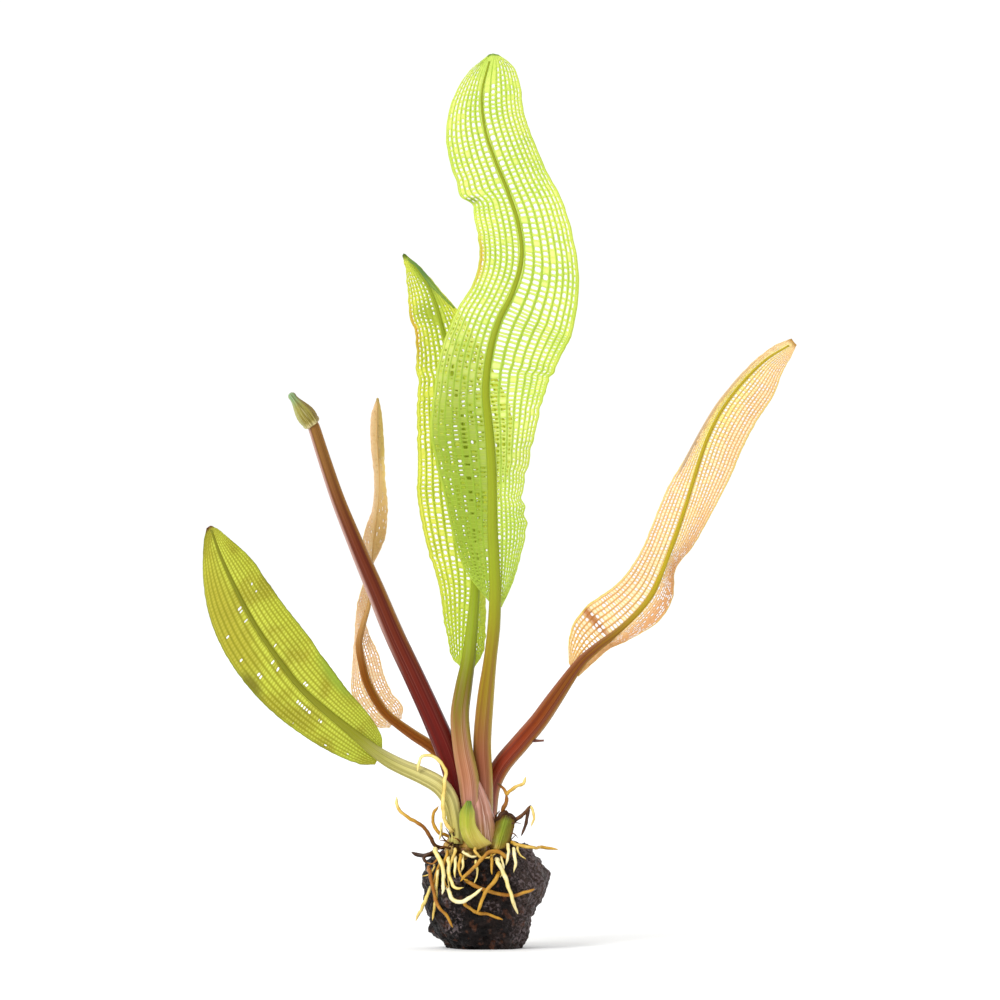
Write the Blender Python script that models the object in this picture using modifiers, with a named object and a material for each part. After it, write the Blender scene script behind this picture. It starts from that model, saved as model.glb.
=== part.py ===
"""Madagascar lace plant, lifted out with its roots.

Five leaves and a flower stalk grow from a crown. The crown sits in a dip of
a dark tuber, and the roots run over it. Seen from the front, along +Y, the
leaves fan out to both sides. The origin is the middle of the tuber's flat
underside, +Z is up, and all sizes below are in millimetres.
"""

import math

import bmesh
import bpy
from mathutils import Vector, noise
from mathutils.bvhtree import BVHTree

MM = 0.001
NAME = "madagascar_lace_plant"

BLADE_THICK = 0.5
BRACT_THICK = 1.1
GAP = 0.3
TUBE_SIDES_STALK = 2
TUBE_SIDES_ROOT = 1
LUMP_SIZE = 9.0
LUMP_HEIGHT = 0.9

# Each row of a lump is a level: height, left, right, front and back reach.
TUBER_LEVELS = (
    (20.0, -2.0, -2.0, 0.0, 0.0),
    (20.6, -8.0, 4.5, -5.0, 6.0),
    (24.0, -12.4, 8.0, -8.6, 9.4),
    (24.6, -14.6, 10.0, -11.0, 11.2),
    (22.2, -15.8, 12.0, -12.6, 13.0),
    (19.0, -16.2, 14.2, -13.6, 14.0),
    (15.6, -16.6, 15.8, -14.0, 14.4),
    (11.5, -15.9, 12.5, -13.4, 13.8),
    (7.6, -15.2, 11.3, -12.6, 12.8),
    (4.0, -14.2, 10.4, -11.4, 11.4),
    (1.2, -10.6, 9.2, -10.0, 10.2),
    (0.0, -9.4, 8.4, -9.4, 9.6),
)
TUBER_SLOPE = (0.10, 0.12)
TUBER_SLOPE_FROM = 19.5

CROWN_LEVELS = (
    (28.5, -10.0, 4.0, -4.6, 7.8),
    (27.4, -11.0, 4.9, -5.3, 8.4),
    (25.2, -11.2, 5.2, -5.4, 8.6),
    (22.8, -9.6, 3.8, -4.6, 7.0),
    (21.4, -7.0, 1.0, -2.6, 4.6),
)

# A blade's row is one line across it, from the base to the tip: x and z of
# the left margin, of the midrib and of the right margin, then their three
# depths y. Rows run square to the midrib, as the cross veins do.
TALL_BLADE = (
    (0.3, 86.6, 1.8, 85.8, 3.4, 85.2, -2.2, -2.4, -2.2),
    (-4.0, 91.8, 1.7, 90.8, 5.8, 90.5, -1.6, -2.6, -1.4),
    (-6.9, 97.0, 1.5, 97.0, 7.9, 97.0, -1.2, -2.8, -0.6),
    (-9.1, 104.5, 1.1, 104.5, 9.6, 105.0, -2.6, -3.0, -2.4),
    (-10.9, 112.8, 1.1, 112.8, 8.7, 112.3, -3.6, -3.0, -4.4),
    (-13.1, 121.5, 0.8, 121.5, 10.0, 121.0, -2.4, -2.8, -1.2),
    (-14.5, 129.3, 0.3, 129.3, 11.9, 129.5, -3.4, -2.2, -2.6),
    (-13.8, 137.2, -0.6, 137.5, 14.0, 138.0, -3.0, -1.4, -4.0),
    (-12.0, 148.5, 0.1, 147.0, 16.2, 143.8, -1.0, -0.6, -2.0),
    (-8.0, 159.0, 2.3, 155.8, 19.6, 150.5, 1.4, 0.4, 0.8),
    (-4.2, 165.4, 5.0, 161.6, 21.2, 154.2, 1.4, 0.8, 2.6),
    (-2.3, 171.2, 7.8, 168.2, 22.7, 164.0, 0.0, 0.6, 1.0),
    (-2.4, 176.8, 8.4, 174.8, 22.2, 173.0, -1.2, 0.0, -1.6),
    (-3.5, 182.4, 7.1, 183.3, 19.2, 185.2, -0.4, -0.8, -2.6),
    (-5.7, 187.6, 4.4, 190.4, 14.7, 194.2, 0.8, -1.6, -1.0),
    (-9.0, 194.6, 1.4, 197.8, 11.6, 201.4, -0.8, -2.6, -1.6),
    (-10.4, 202.0, -0.7, 204.4, 9.4, 207.2, -3.0, -3.6, -3.2),
    (-9.8, 208.8, -1.6, 209.2, 8.7, 210.4, -4.4, -4.4, -4.4),
    (-7.6, 214.6, -1.4, 214.6, 8.1, 215.2, -5.6, -5.4, -5.6),
    (-4.6, 219.0, -0.4, 219.4, 6.3, 220.2, -6.6, -6.4, -6.6),
    (0.2, 223.0, 1.2, 223.3, 2.6, 223.0, -7.4, -7.4, -7.4),
)
SECOND_BLADE = (
    (-7.0, 70.2, -5.3, 69.6, -3.4, 70.2, 1.6, 1.2, 1.6),
    (-9.2, 73.3, -4.8, 73.4, -1.1, 74.3, 3.4, 2.0, 2.8),
    (-11.2, 83.2, -3.8, 82.8, -0.6, 82.4, 5.2, 3.6, 5.2),
    (-12.4, 91.0, -3.2, 90.0, -0.6, 88.8, 6.2, 4.6, 6.8),
    (-15.3, 100.5, -3.3, 100.0, -0.5, 100.8, 7.4, 5.6, 8.4),
    (-17.6, 112.0, -4.2, 112.0, 2.8, 112.2, 6.4, 6.2, 8.2),
    (-17.6, 121.6, -5.5, 122.0, 5.8, 121.5, 7.4, 6.6, 6.8),
    (-17.8, 132.5, -7.1, 133.2, 5.8, 134.0, 6.4, 6.6, 6.4),
    (-17.7, 141.8, -8.8, 143.2, 1.5, 144.0, 7.2, 6.4, 6.8),
    (-18.1, 150.8, -10.7, 152.0, -3.2, 152.0, 5.8, 5.8, 7.0),
    (-19.4, 158.0, -12.5, 159.0, -7.5, 159.3, 4.6, 5.0, 6.6),
    (-20.1, 164.0, -14.6, 165.0, -12.0, 164.6, 3.6, 4.0, 5.4),
    (-20.6, 169.5, -18.0, 170.0, -16.6, 169.9, 2.6, 2.8, 3.6),
    (-21.4, 173.2, -21.1, 173.7, -20.6, 173.4, 1.6, 1.7, 1.8),
)
RIGHT_BLADE = (
    (20.2, 71.2, 21.2, 69.2, 22.6, 67.8, 2.4, 3.0, 2.6),
    (20.3, 77.8, 24.8, 73.0, 26.6, 71.4, 0.6, 2.6, 4.2),
    (22.6, 83.3, 28.8, 76.4, 30.3, 74.6, 0.2, 2.2, 3.6),
    (27.4, 87.4, 33.6, 80.0, 36.0, 77.4, 3.2, 1.8, 0.2),
    (31.4, 90.3, 38.7, 85.2, 42.8, 81.8, 2.2, 1.4, -0.6),
    (35.0, 94.1, 41.8, 90.0, 46.2, 87.6, -0.2, 1.0, 1.8),
    (38.4, 99.6, 44.6, 97.0, 47.0, 94.8, -0.6, 0.6, 3.2),
    (40.9, 105.3, 46.8, 102.8, 51.4, 100.6, 1.4, 0.2, 1.4),
    (44.7, 114.5, 50.0, 112.3, 56.6, 110.0, 1.8, -0.6, -1.6),
    (49.0, 122.0, 52.5, 120.8, 60.8, 118.2, 0.4, -1.6, -1.2),
    (53.2, 129.5, 55.1, 128.2, 63.6, 125.0, -0.6, -2.8, -2.6),
    (57.2, 136.0, 59.0, 135.6, 67.3, 132.0, -2.2, -4.2, -4.4),
    (62.2, 142.4, 64.1, 142.0, 71.1, 137.8, -4.2, -5.8, -5.2),
    (67.2, 147.4, 68.5, 146.4, 73.5, 144.0, -6.2, -7.4, -6.8),
    (71.8, 150.7, 72.8, 149.3, 75.4, 147.4, -8.0, -8.8, -8.4),
    (75.6, 152.2, 76.3, 151.2, 76.9, 150.6, -9.6, -9.8, -9.7),
)
LEFT_BLADE = (
    (-28.2, 46.0, -27.0, 48.4, -26.4, 50.4, -6.6, -6.8, -6.6),
    (-32.0, 46.2, -29.4, 50.4, -26.7, 53.6, -7.2, -7.4, -7.4),
    (-38.0, 48.6, -34.0, 54.2, -29.8, 58.6, -7.6, -8.6, -8.6),
    (-45.0, 52.6, -40.6, 59.6, -35.2, 65.0, -8.2, -9.6, -9.8),
    (-52.0, 57.8, -47.0, 65.6, -40.4, 72.2, -9.4, -10.4, -10.8),
    (-58.6, 64.2, -52.3, 72.5, -46.0, 79.8, -10.6, -11.0, -11.8),
    (-64.6, 72.4, -57.4, 79.9, -51.4, 86.8, -11.6, -11.6, -12.4),
    (-68.4, 80.4, -61.2, 86.8, -55.8, 93.2, -12.2, -12.4, -13.2),
    (-70.3, 88.0, -64.4, 93.4, -60.0, 98.6, -12.8, -13.2, -13.8),
    (-70.9, 95.6, -66.8, 99.0, -64.0, 102.2, -13.6, -14.0, -14.4),
    (-70.6, 101.4, -68.3, 103.4, -66.8, 104.6, -14.4, -14.6, -14.8),
    (-69.8, 105.0, -69.1, 105.6, -68.5, 105.5, -15.0, -15.0, -15.0),
)
TWISTED_BLADE = (
    (-24.8, 54.8, -23.6, 56.3, -21.6, 57.2, 7.6, 7.0, 7.6),
    (-28.0, 55.2, -25.6, 58.6, -21.5, 60.4, 8.2, 6.8, 8.4),
    (-31.4, 58.4, -27.7, 61.2, -24.0, 63.4, 8.6, 6.8, 8.8),
    (-34.2, 63.4, -30.0, 65.4, -26.0, 67.8, 9.0, 7.0, 9.2),
    (-34.1, 69.6, -31.6, 70.8, -27.6, 73.6, 9.2, 7.4, 10.2),
    (-33.6, 76.6, -32.3, 77.0, -30.2, 79.2, 8.4, 8.0, 11.4),
    (-32.8, 85.6, -29.9, 86.0, -31.6, 86.6, 6.6, 8.6, 12.6),
    (-30.9, 93.4, -29.4, 93.6, -29.6, 94.2, 5.8, 8.8, 12.6),
    (-31.3, 102.4, -28.6, 102.2, -25.9, 102.4, 7.2, 9.2, 10.0),
    (-29.0, 110.2, -27.6, 110.4, -25.2, 110.8, 12.2, 9.4, 8.0),
    (-28.6, 117.4, -27.2, 117.2, -25.8, 117.2, 12.4, 9.2, 8.0),
    (-29.4, 125.6, -27.8, 125.4, -26.1, 125.6, 11.4, 8.8, 10.8),
    (-29.4, 132.6, -27.9, 132.8, -26.6, 132.6, 10.4, 8.6, 10.2),
    (-28.0, 137.4, -27.7, 137.7, -27.4, 137.4, 9.0, 8.8, 9.0),
)
FRONT_BRACT = (
    (-4.6, 25.2, -2.0, 24.9, 1.0, 26.3, -6.3, -6.9, -6.3),
    (-6.3, 27.8, -3.8, 27.4, -1.0, 28.0, -6.1, -6.9, -6.3),
    (-7.0, 31.0, -5.0, 30.8, -3.0, 31.0, -6.0, -6.7, -6.2),
    (-6.8, 34.2, -5.0, 34.4, -3.4, 34.2, -6.0, -6.6, -6.1),
    (-5.1, 36.8, -4.7, 37.0, -4.3, 36.8, -6.1, -6.3, -6.1),
)
RIGHT_BRACT = (
    (2.0, 29.0, 3.5, 29.0, 5.0, 29.2, -1.4, -2.4, -1.2),
    (1.8, 30.6, 3.8, 30.6, 5.9, 30.8, -1.2, -2.6, -1.0),
    (2.4, 32.6, 4.4, 32.6, 6.3, 32.4, -1.2, -2.4, -1.2),
    (4.2, 33.7, 4.8, 33.8, 5.6, 33.4, -1.6, -1.9, -1.6),
)

# A stalk runs from the crown to its blade: x, y, z and radius at each point.
TALL_STALK = (
    (-0.9, 0.9, 28.8, 1.9),
    (-1.0, 0.9, 34.0, 2.2),
    (-1.1, 0.8, 42.0, 2.25),
    (-1.5, 0.4, 51.0, 2.25),
    (-0.7, -0.6, 62.0, 2.1),
    (0.5, -1.6, 72.0, 1.5),
    (1.4, -2.2, 80.0, 1.3),
)
SECOND_STALK = (
    (-4.3, -2.7, 28.8, 1.8),
    (-4.4, -2.8, 35.0, 2.2),
    (-4.9, -2.8, 42.0, 2.55),
    (-6.4, -2.2, 50.0, 2.4),
    (-7.1, -1.2, 58.0, 2.3),
    (-6.2, 0.2, 65.0, 2.1),
)
RIGHT_STALK = (
    (0.0, 5.7, 28.8, 1.6),
    (0.3, 5.7, 34.0, 1.9),
    (0.9, 5.6, 40.0, 2.1),
    (3.2, 5.4, 45.4, 2.3),
    (8.2, 5.0, 51.4, 2.3),
    (12.6, 4.4, 56.6, 2.2),
    (16.4, 3.8, 62.0, 2.0),
)
LEFT_STALK = (
    (-7.9, -3.5, 28.8, 1.5),
    (-8.5, -3.8, 33.0, 1.8),
    (-9.6, -4.2, 37.2, 2.1),
    (-12.0, -4.7, 40.6, 2.2),
    (-16.0, -5.4, 43.0, 2.1),
    (-21.0, -6.1, 45.2, 1.9),
    (-24.6, -6.6, 47.0, 1.8),
)
TWISTED_STALK = (
    (-4.4, 5.9, 28.8, 1.3),
    (-5.0, 6.2, 36.0, 1.4),
    (-8.0, 6.8, 44.0, 1.4),
    (-13.6, 7.0, 49.6, 1.4),
    (-19.2, 7.0, 53.4, 1.3),
)
FLOWER_STALK = (
    (-6.9, 2.1, 28.8, 2.2),
    (-7.3, 2.1, 36.0, 2.5),
    (-8.4, 1.9, 43.0, 2.8),
    (-10.2, 1.6, 49.0, 2.9),
    (-14.2, 1.0, 58.4, 2.7),
    (-18.8, 0.4, 68.4, 2.6),
    (-23.6, -0.2, 78.6, 2.5),
    (-28.2, -0.8, 89.6, 2.3),
    (-32.3, -1.4, 100.4, 2.1),
    (-36.8, -2.0, 111.8, 1.9),
    (-40.6, -2.6, 122.4, 1.7),
    (-43.5, -3.0, 130.2, 1.5),
)
MIDRIB_RADIUS = {"tall": 1.3, "second": 1.3, "right": 1.2, "left": 1.4, "twisted": 1.0}
MIDRIB_TIP_RADIUS = 0.45
MIDRIB_SHARE = 0.9

# The bud's turned outline: radius and distance from its foot to its tip.
BUD_OUTLINE = (
    (0.0, 0.0),
    (1.5, 0.1),
    (1.75, 0.9),
    (1.6, 1.7),
    (2.05, 3.2),
    (1.85, 5.2),
    (1.15, 7.4),
    (0.75, 8.8),
    (0.0, 9.4),
)
BUD_FOOT = (-43.8, -3.1, 130.9)
BUD_TIP = (-49.4, -3.8, 138.6)
BUD_SIDES = 12

# A root: its radius, how far it is lifted off what it lies on, then its places as
# x and z. The roots that stand free of what is behind them give x, y and z.
ROOTS = (
    (0.60, 0.0, (-9.3, 29.6), (-10.7, 32.2), (-11.2, 36.5), (-10.9, 40.8), (-10.5, 43.6),
     (-11.7, 46.6), (-14.2, 48.3), (-16.2, 48.2), (-17.2, 46.6), (-17.6, 44.2)),
    (0.60, 0.0, (-11.6, -0.8, 25.1), (-13.3, -1.4, 25.6), (-14.6, -2.0, 28.2),
     (-16.0, -2.6, 30.2), (-18.4, -3.2, 31.9), (-20.8, -3.6, 33.4), (-22.5, -3.8, 35.3),
     (-22.7, -4.0, 38.0)),
    (0.55, 0.0, (-10.7, -1.0, 28.4), (-11.9, -1.2, 28.7), (-13.0, -1.4, 29.6),
     (-13.7, -1.5, 31.4), (-13.5, -1.6, 33.7), (-12.5, -1.6, 35.6)),
    (0.45, 0.0, (-11.6, -2.9, 31.4), (-11.6, -2.9, 29.4), (-12.2, -2.9, 27.0)),
    (0.70, 1.6, (-12.9, 24.2), (-11.6, 21.6), (-11.0, 19.0), (-11.1, 16.4), (-11.4, 13.8)),
    (0.60, 0.0, (-9.9, 21.8), (-9.8, 18.8), (-8.7, 16.3), (-7.3, 15.2), (-6.0, 15.6)),
    (0.65, 1.6, (-9.6, 14.6), (-9.0, 12.9), (-7.3, 12.0), (-5.2, 12.7), (-2.5, 14.8), (-1.3, 15.7)),
    (0.60, 1.6, (2.3, 18.4), (0.9, 16.4), (-0.8, 14.0), (-2.8, 9.2)),
    (0.65, 1.7, (4.2, 23.4), (2.4, 24.6), (0.2, 24.4), (-1.8, 22.6), (-4.0, 20.2), (-6.9, 17.2)),
    (0.60, 0.0, (-4.6, 16.9), (-2.3, 15.7), (0.8, 14.6), (4.3, 13.9), (7.8, 13.9), (11.8, 15.3)),
    (0.65, 1.6, (2.6, 21.8), (4.1, 18.9), (5.6, 14.4), (7.4, 9.0)),
    (0.55, 0.0, (-5.2, 11.0), (-3.9, 10.2), (-2.2, 9.3), (0.4, 8.9), (3.7, 7.5)),
    (0.60, 1.6, (-14.6, 19.4), (-13.7, 15.2), (-12.3, 11.0), (-10.3, 8.5), (-8.7, 5.8)),
    (0.50, 0.0, (-12.4, 19.4), (-12.9, 15.8), (-13.0, 12.6), (-13.9, 7.2)),
    (0.55, 0.0, (-14.7, 14.4), (-15.6, 12.0), (-16.8, 9.5), (-18.0, 6.8)),
    (0.60, 0.2, (5.4, 26.9), (6.9, 26.0), (9.5, 25.5), (13.0, 25.2), (17.6, 24.8)),
    (0.50, 0.2, (5.0, 25.2), (5.2, 23.6), (4.4, 21.0)),
    (0.55, 0.2, (6.5, 24.2), (6.9, 21.8), (6.5, 19.4)),
    (0.75, 0.0, (2.9, 1.4, 28.9), (3.3, 1.0, 32.0), (3.6, 0.4, 34.4), (4.5, -0.2, 36.6),
     (4.7, -0.4, 38.6)),
    (0.55, 0.0, (5.6, -0.5, 39.4), (6.8, -0.8, 40.4), (8.6, -0.8, 41.0), (9.5, -0.6, 41.8),
     (9.5, -0.4, 42.9)),
    (0.50, 0.0, (3.8, -0.5, 39.8), (2.9, -0.6, 40.6), (2.2, -0.6, 41.2)),
    (0.65, 0.0, (7.2, -0.9, 32.2), (8.6, -0.6, 33.2), (9.7, -0.4, 34.2), (10.7, -0.2, 35.8)),
    (0.50, 0.0, (9.7, -0.4, 32.4), (9.2, -0.6, 30.4), (8.4, -0.8, 28.0)),
    (0.40, 0.0, (11.2, -0.2, 34.4), (11.5, -0.4, 32.6), (10.9, -0.8, 30.4)),
    (0.45, 0.0, (-5.4, 23.9), (-4.0, 23.2), (-2.4, 23.6)),
    (0.50, 0.0, (-8.1, 22.0), (-8.2, 19.8), (-8.1, 17.8)),
    (0.50, 0.0, (0.9, 22.6), (1.0, 20.8), (1.1, 19.0)),
    (0.45, 0.0, (-6.3, 22.4), (-6.3, 20.8), (-6.9, 19.2)),
    (0.60, 0.0, (-14.6, -5.6, 23.7), (-15.7, -5.7, 23.4), (-16.1, -5.8, 22.1),
     (-15.2, -6.4, 21.1)),
)
OLD_ROOT = (0.7, 0.0, (-13.4, -3.4, 23.6), (-15.2, -3.2, 23.3), (-17.0, -3.0, 23.4),
            (-19.0, -3.0, 24.1))
ROOT_STEP = 2.0
RAY_FROM = -60.0

COLOURS = {
    "leaf_green": ((0.52, 0.66, 0.06), 0.45),
    "leaf_left": ((0.40, 0.48, 0.05), 0.45),
    "leaf_peach": ((0.74, 0.42, 0.17), 0.5),
    "stalk_red": ((0.24, 0.05, 0.03), 0.35),
    "bract_green": ((0.40, 0.42, 0.08), 0.45),
    "bud_green": ((0.22, 0.26, 0.10), 0.45),
    "crown_brown": ((0.36, 0.27, 0.08), 0.55),
    "tuber_black": ((0.018, 0.014, 0.014), 0.4),
    "root_cream": ((0.72, 0.52, 0.16), 0.5),
}


def clear_scene():
    for obj in list(bpy.data.objects):
        bpy.data.objects.remove(obj)


def new_collection(name):
    group = bpy.data.collections.new(name)
    bpy.context.scene.collection.children.link(group)
    return group


def make_materials():
    made = {}
    for name, (colour, roughness) in COLOURS.items():
        material = bpy.data.materials.new(name)
        material.use_nodes = True
        shader = material.node_tree.nodes["Principled BSDF"]
        shader.inputs["Base Color"].default_value = (*colour, 1.0)
        shader.inputs["Roughness"].default_value = roughness
        shader.inputs["Metallic"].default_value = 0.0
        made[name] = material
    return made


def smooth_point(points, at):
    """A point of the smooth curve through all the points; at counts them from 0."""
    last = len(points) - 1
    i = min(int(at), last - 1)
    t = at - i
    b, c = points[i], points[i + 1]
    a = points[i - 1] if i > 0 else b - (c - b)
    d = points[i + 2] if i + 2 <= last else c + (c - b)
    slope_b, slope_c = (c - a) / 2, (d - b) / 2
    return (
        b * (2 * t**3 - 3 * t**2 + 1)
        + slope_b * (t**3 - 2 * t**2 + t)
        + c * (3 * t**2 - 2 * t**3)
        + slope_c * (t**3 - t**2)
    )


def even_steps(points, count):
    """Places along the points, as numbers for smooth_point, that are equally far apart."""
    fine = [i * (len(points) - 1) / 200 for i in range(201)]
    reach = [0.0]
    for a, b in zip(fine, fine[1:]):
        reach.append(reach[-1] + (smooth_point(points, b) - smooth_point(points, a)).length)
    places = []
    k = 0
    for i in range(count + 1):
        wanted = reach[-1] * i / count
        while k < 199 and reach[k + 1] < wanted:
            k += 1
        share = (wanted - reach[k]) / max(reach[k + 1] - reach[k], 1e-9)
        places.append(fine[k] + share * (fine[k + 1] - fine[k]))
    return places


def add_object(name, data, group, material):
    obj = bpy.data.objects.new(name, data)
    group.objects.link(obj)
    data.materials.append(material)
    return obj


def tube(name, points, radii, sides, group, material):
    """A round tube with closed ends, thick as the radii say at each point."""
    curve = bpy.data.curves.new(name, "CURVE")
    curve.dimensions = "3D"
    curve.bevel_depth = MM
    curve.bevel_resolution = sides
    curve.use_fill_caps = True
    spline = curve.splines.new("POLY")
    spline.points.add(len(points) - 1)
    for knot, point, radius in zip(spline.points, points, radii):
        knot.co = (*(point * MM), 1.0)
        knot.radius = radius
    return add_object(name, curve, group, material)


def to_mesh(obj):
    """The object as a plain mesh object of the same name, its caps welded on."""
    name = obj.name
    group = obj.users_collection[0]
    graph = bpy.context.evaluated_depsgraph_get()
    mesh = bpy.data.meshes.new_from_object(obj.evaluated_get(graph))
    place = obj.matrix_world.copy()
    bpy.data.objects.remove(obj)
    bm = bmesh.new()
    bm.from_mesh(mesh)
    bmesh.ops.remove_doubles(bm, verts=bm.verts, dist=1e-6)
    bm.to_mesh(mesh)
    bm.free()
    made = bpy.data.objects.new(name, mesh)
    made.matrix_world = place
    group.objects.link(made)
    return made


def blade_point(rows, at, across):
    """A point of a blade; across runs from -1, the left margin, to 1, the right one."""
    left, middle, right = (
        smooth_point([Vector((r[2 * k], r[6 + k], r[2 * k + 1])) for r in rows], at)
        for k in range(3)
    )
    edge = left if across < 0 else right
    return middle.lerp(edge, abs(across))


def blade(name, rows, lengthwise, crosswise, thick, group, material):
    """A thin closed sheet with its two faces half the thickness off the rows."""
    middle = [Vector((r[2], r[7], r[3])) for r in rows]
    places = even_steps(middle, lengthwise)
    bm = bmesh.new()
    bmesh.ops.create_grid(bm, x_segments=crosswise, y_segments=lengthwise, size=1.0)
    for vert in bm.verts:
        step = round((vert.co.y + 1) / 2 * lengthwise)
        vert.co = blade_point(rows, places[step], vert.co.x) * MM
    mesh = bpy.data.meshes.new(name)
    bm.to_mesh(mesh)
    bm.free()
    obj = add_object(name, mesh, group, material)
    solid = obj.modifiers.new("thickness", "SOLIDIFY")
    solid.thickness = thick * MM
    solid.offset = 0.0
    mesh.shade_smooth()
    return obj


def join(obj, other):
    """Grows other onto obj, as one closed body."""
    union = obj.modifiers.new("grown_on", "BOOLEAN")
    union.operation = "UNION"
    union.object = other
    union.solver = "EXACT"
    joined = to_mesh(obj)
    bpy.data.objects.remove(other)
    return joined


def leaf(name, rows, stalk, lengthwise, crosswise, rib_radius, group, material):
    """A blade with its stalk, which runs on up the blade as the midrib."""
    sheet = to_mesh(blade(name, rows, lengthwise, crosswise, BLADE_THICK, group, material))
    middle = [Vector((r[2], r[7], r[3])) for r in rows]
    rib = [smooth_point(middle, at) for at in even_steps(middle, lengthwise)]
    rib = rib[1 : round(MIDRIB_SHARE * lengthwise)]
    points = [Vector(p[:3]) for p in stalk] + rib
    radii = [p[3] for p in stalk]
    for i in range(len(rib)):
        radii.append(rib_radius + (MIDRIB_TIP_RADIUS - rib_radius) * i / len(rib))
    rod = to_mesh(tube(name + "_rib", points, radii, TUBE_SIDES_STALK, group, material))
    made = join(sheet, rod)
    made.data.shade_smooth()
    made.data.set_sharp_from_angle(angle=math.radians(40))
    return made


def lump(name, levels, segments, group, material, roughen=0.0, slope=(0.0, 0.0), slope_from=0.0):
    """A ball whose rings are moved to the levels: height and reach to each side."""
    bm = bmesh.new()
    bmesh.ops.create_uvsphere(bm, u_segments=segments, v_segments=len(levels) + 1, radius=1.0)
    rings = len(levels) + 1
    for vert in bm.verts:
        ring = round(math.acos(max(-1.0, min(1.0, vert.co.z))) / math.pi * rings)
        pole = ring in (0, rings)
        height, left, right, front, back = levels[min(max(ring - 1, 0), len(levels) - 1)]
        angle = math.atan2(vert.co.y, vert.co.x)
        middle = Vector(((left + right) / 2, (front + back) / 2, height))
        out = Vector((math.cos(angle), math.sin(angle), 0.0))
        if pole:
            vert.co = middle
        else:
            reach_x = (right - left) / 2
            reach_y = (back - front) / 2
            vert.co = middle + Vector((reach_x * out.x, reach_y * out.y, 0.0))
        if roughen and height > 0:
            bump = noise.noise(vert.co / LUMP_SIZE * 2.0)
            vert.co += out * (0.0 if pole else bump * roughen * 2)
        above = max(0.0, height - slope_from)
        lift = min(1.0, above / 4.0)
        vert.co.z += lift * (slope[0] * vert.co.x + slope[1] * vert.co.y)
        vert.co *= MM
    mesh = bpy.data.meshes.new(name)
    bm.to_mesh(mesh)
    bm.free()
    mesh.shade_smooth()
    return add_object(name, mesh, group, material)


def make_tuber_and_crown(parts, cutters, materials):
    crown = lump("crown", CROWN_LEVELS, 18, parts, materials["crown_brown"])
    wider = [
        (z + (GAP if i == 0 else -GAP), left - GAP, right + GAP, front - GAP, back + GAP)
        for i, (z, left, right, front, back) in enumerate(CROWN_LEVELS)
    ]
    socket = lump("crown_socket", wider, 18, cutters, materials["crown_brown"])
    socket.hide_render = True
    socket.display_type = "WIRE"
    tuber = lump(
        "tuber",
        TUBER_LEVELS,
        22,
        parts,
        materials["tuber_black"],
        LUMP_HEIGHT,
        TUBER_SLOPE,
        TUBER_SLOPE_FROM,
    )
    cut = tuber.modifiers.new("seat_for_the_crown", "BOOLEAN")
    cut.operation = "DIFFERENCE"
    cut.object = socket
    cut.solver = "EXACT"
    tuber.data.set_sharp_from_angle(angle=math.radians(50))
    return tuber, crown


def make_bud(group, material):
    """A turned bud, whose outline runs down its outer side from tip to foot."""
    bm = bmesh.new()
    outline = [bm.verts.new((r * MM, 0.0, h * MM)) for r, h in reversed(BUD_OUTLINE)]
    for a, b in zip(outline, outline[1:]):
        bm.edges.new((a, b))
    mesh = bpy.data.meshes.new("flower_bud")
    bm.to_mesh(mesh)
    bm.free()
    bud = add_object("flower_bud", mesh, group, material)
    turn = bud.modifiers.new("turned", "SCREW")
    turn.steps = turn.render_steps = BUD_SIDES
    turn.use_merge_vertices = True
    turn.merge_threshold = 1e-5
    turn.use_smooth_shade = True
    foot, tip = Vector(BUD_FOOT), Vector(BUD_TIP)
    bud.location = foot * MM
    bud.rotation_mode = "QUATERNION"
    bud.rotation_quaternion = Vector((0.0, 0.0, 1.0)).rotation_difference(tip - foot)
    return bud


def surfaces_in_front(objects):
    """One search tree for each object that the roots lie on."""
    graph = bpy.context.evaluated_depsgraph_get()
    trees = []
    for obj in objects:
        bm = bmesh.new()
        bm.from_object(obj, graph)
        bm.transform(obj.matrix_world)
        trees.append(BVHTree.FromBMesh(bm))
        bm.free()
    return trees


def front_depth(trees, x, z):
    """How far forward the plant reaches at this x and z, or None beside it."""
    start = Vector((x, RAY_FROM, z)) * MM
    hits = [tree.ray_cast(start, Vector((0.0, 1.0, 0.0)))[0] for tree in trees]
    depths = [hit.y / MM for hit in hits if hit is not None]
    return min(depths) if depths else None


def root_path(trees, radius, lift, places):
    """The root's points in space: it lies on what is behind it, and clears each bump."""
    standing = len(places[0]) == 3
    flat = [Vector(p) if standing else Vector((p[0], 0.0, p[1])) for p in places]
    length = sum((b - a).length for a, b in zip(flat, flat[1:]))
    count = max(2, round(length / ROOT_STEP))
    points = [smooth_point(flat, at) for at in even_steps(flat, count)]
    if standing:
        return points
    reach = radius + GAP
    depths = []
    for point in points:
        around = [
            front_depth(trees, point.x + dx, point.z + dz)
            for dx in (-reach, 0.0, reach)
            for dz in (-reach, 0.0, reach)
        ]
        around = [d for d in around if d is not None]
        depths.append(min(around) - reach - lift if around else None)
    known = [i for i, d in enumerate(depths) if d is not None]
    for i, point in enumerate(points):
        nearest = min(known, key=lambda k: abs(k - i))
        point.y = depths[nearest]
    settled = []
    for i, point in enumerate(points):
        near = [p.y for p in points[max(0, i - 1) : i + 2]]
        settled.append(Vector((point.x, min(near), point.z)))
    return settled


def make_root(name, trees, root, group, material):
    radius, lift, *places = root
    points = root_path(trees, radius, lift, places)
    last = len(points) - 1
    radii = [radius * (1.0 - 0.35 * (i / last) ** 2) for i in range(last + 1)]
    return tube(name, points, radii, TUBE_SIDES_ROOT, group, material)


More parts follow.
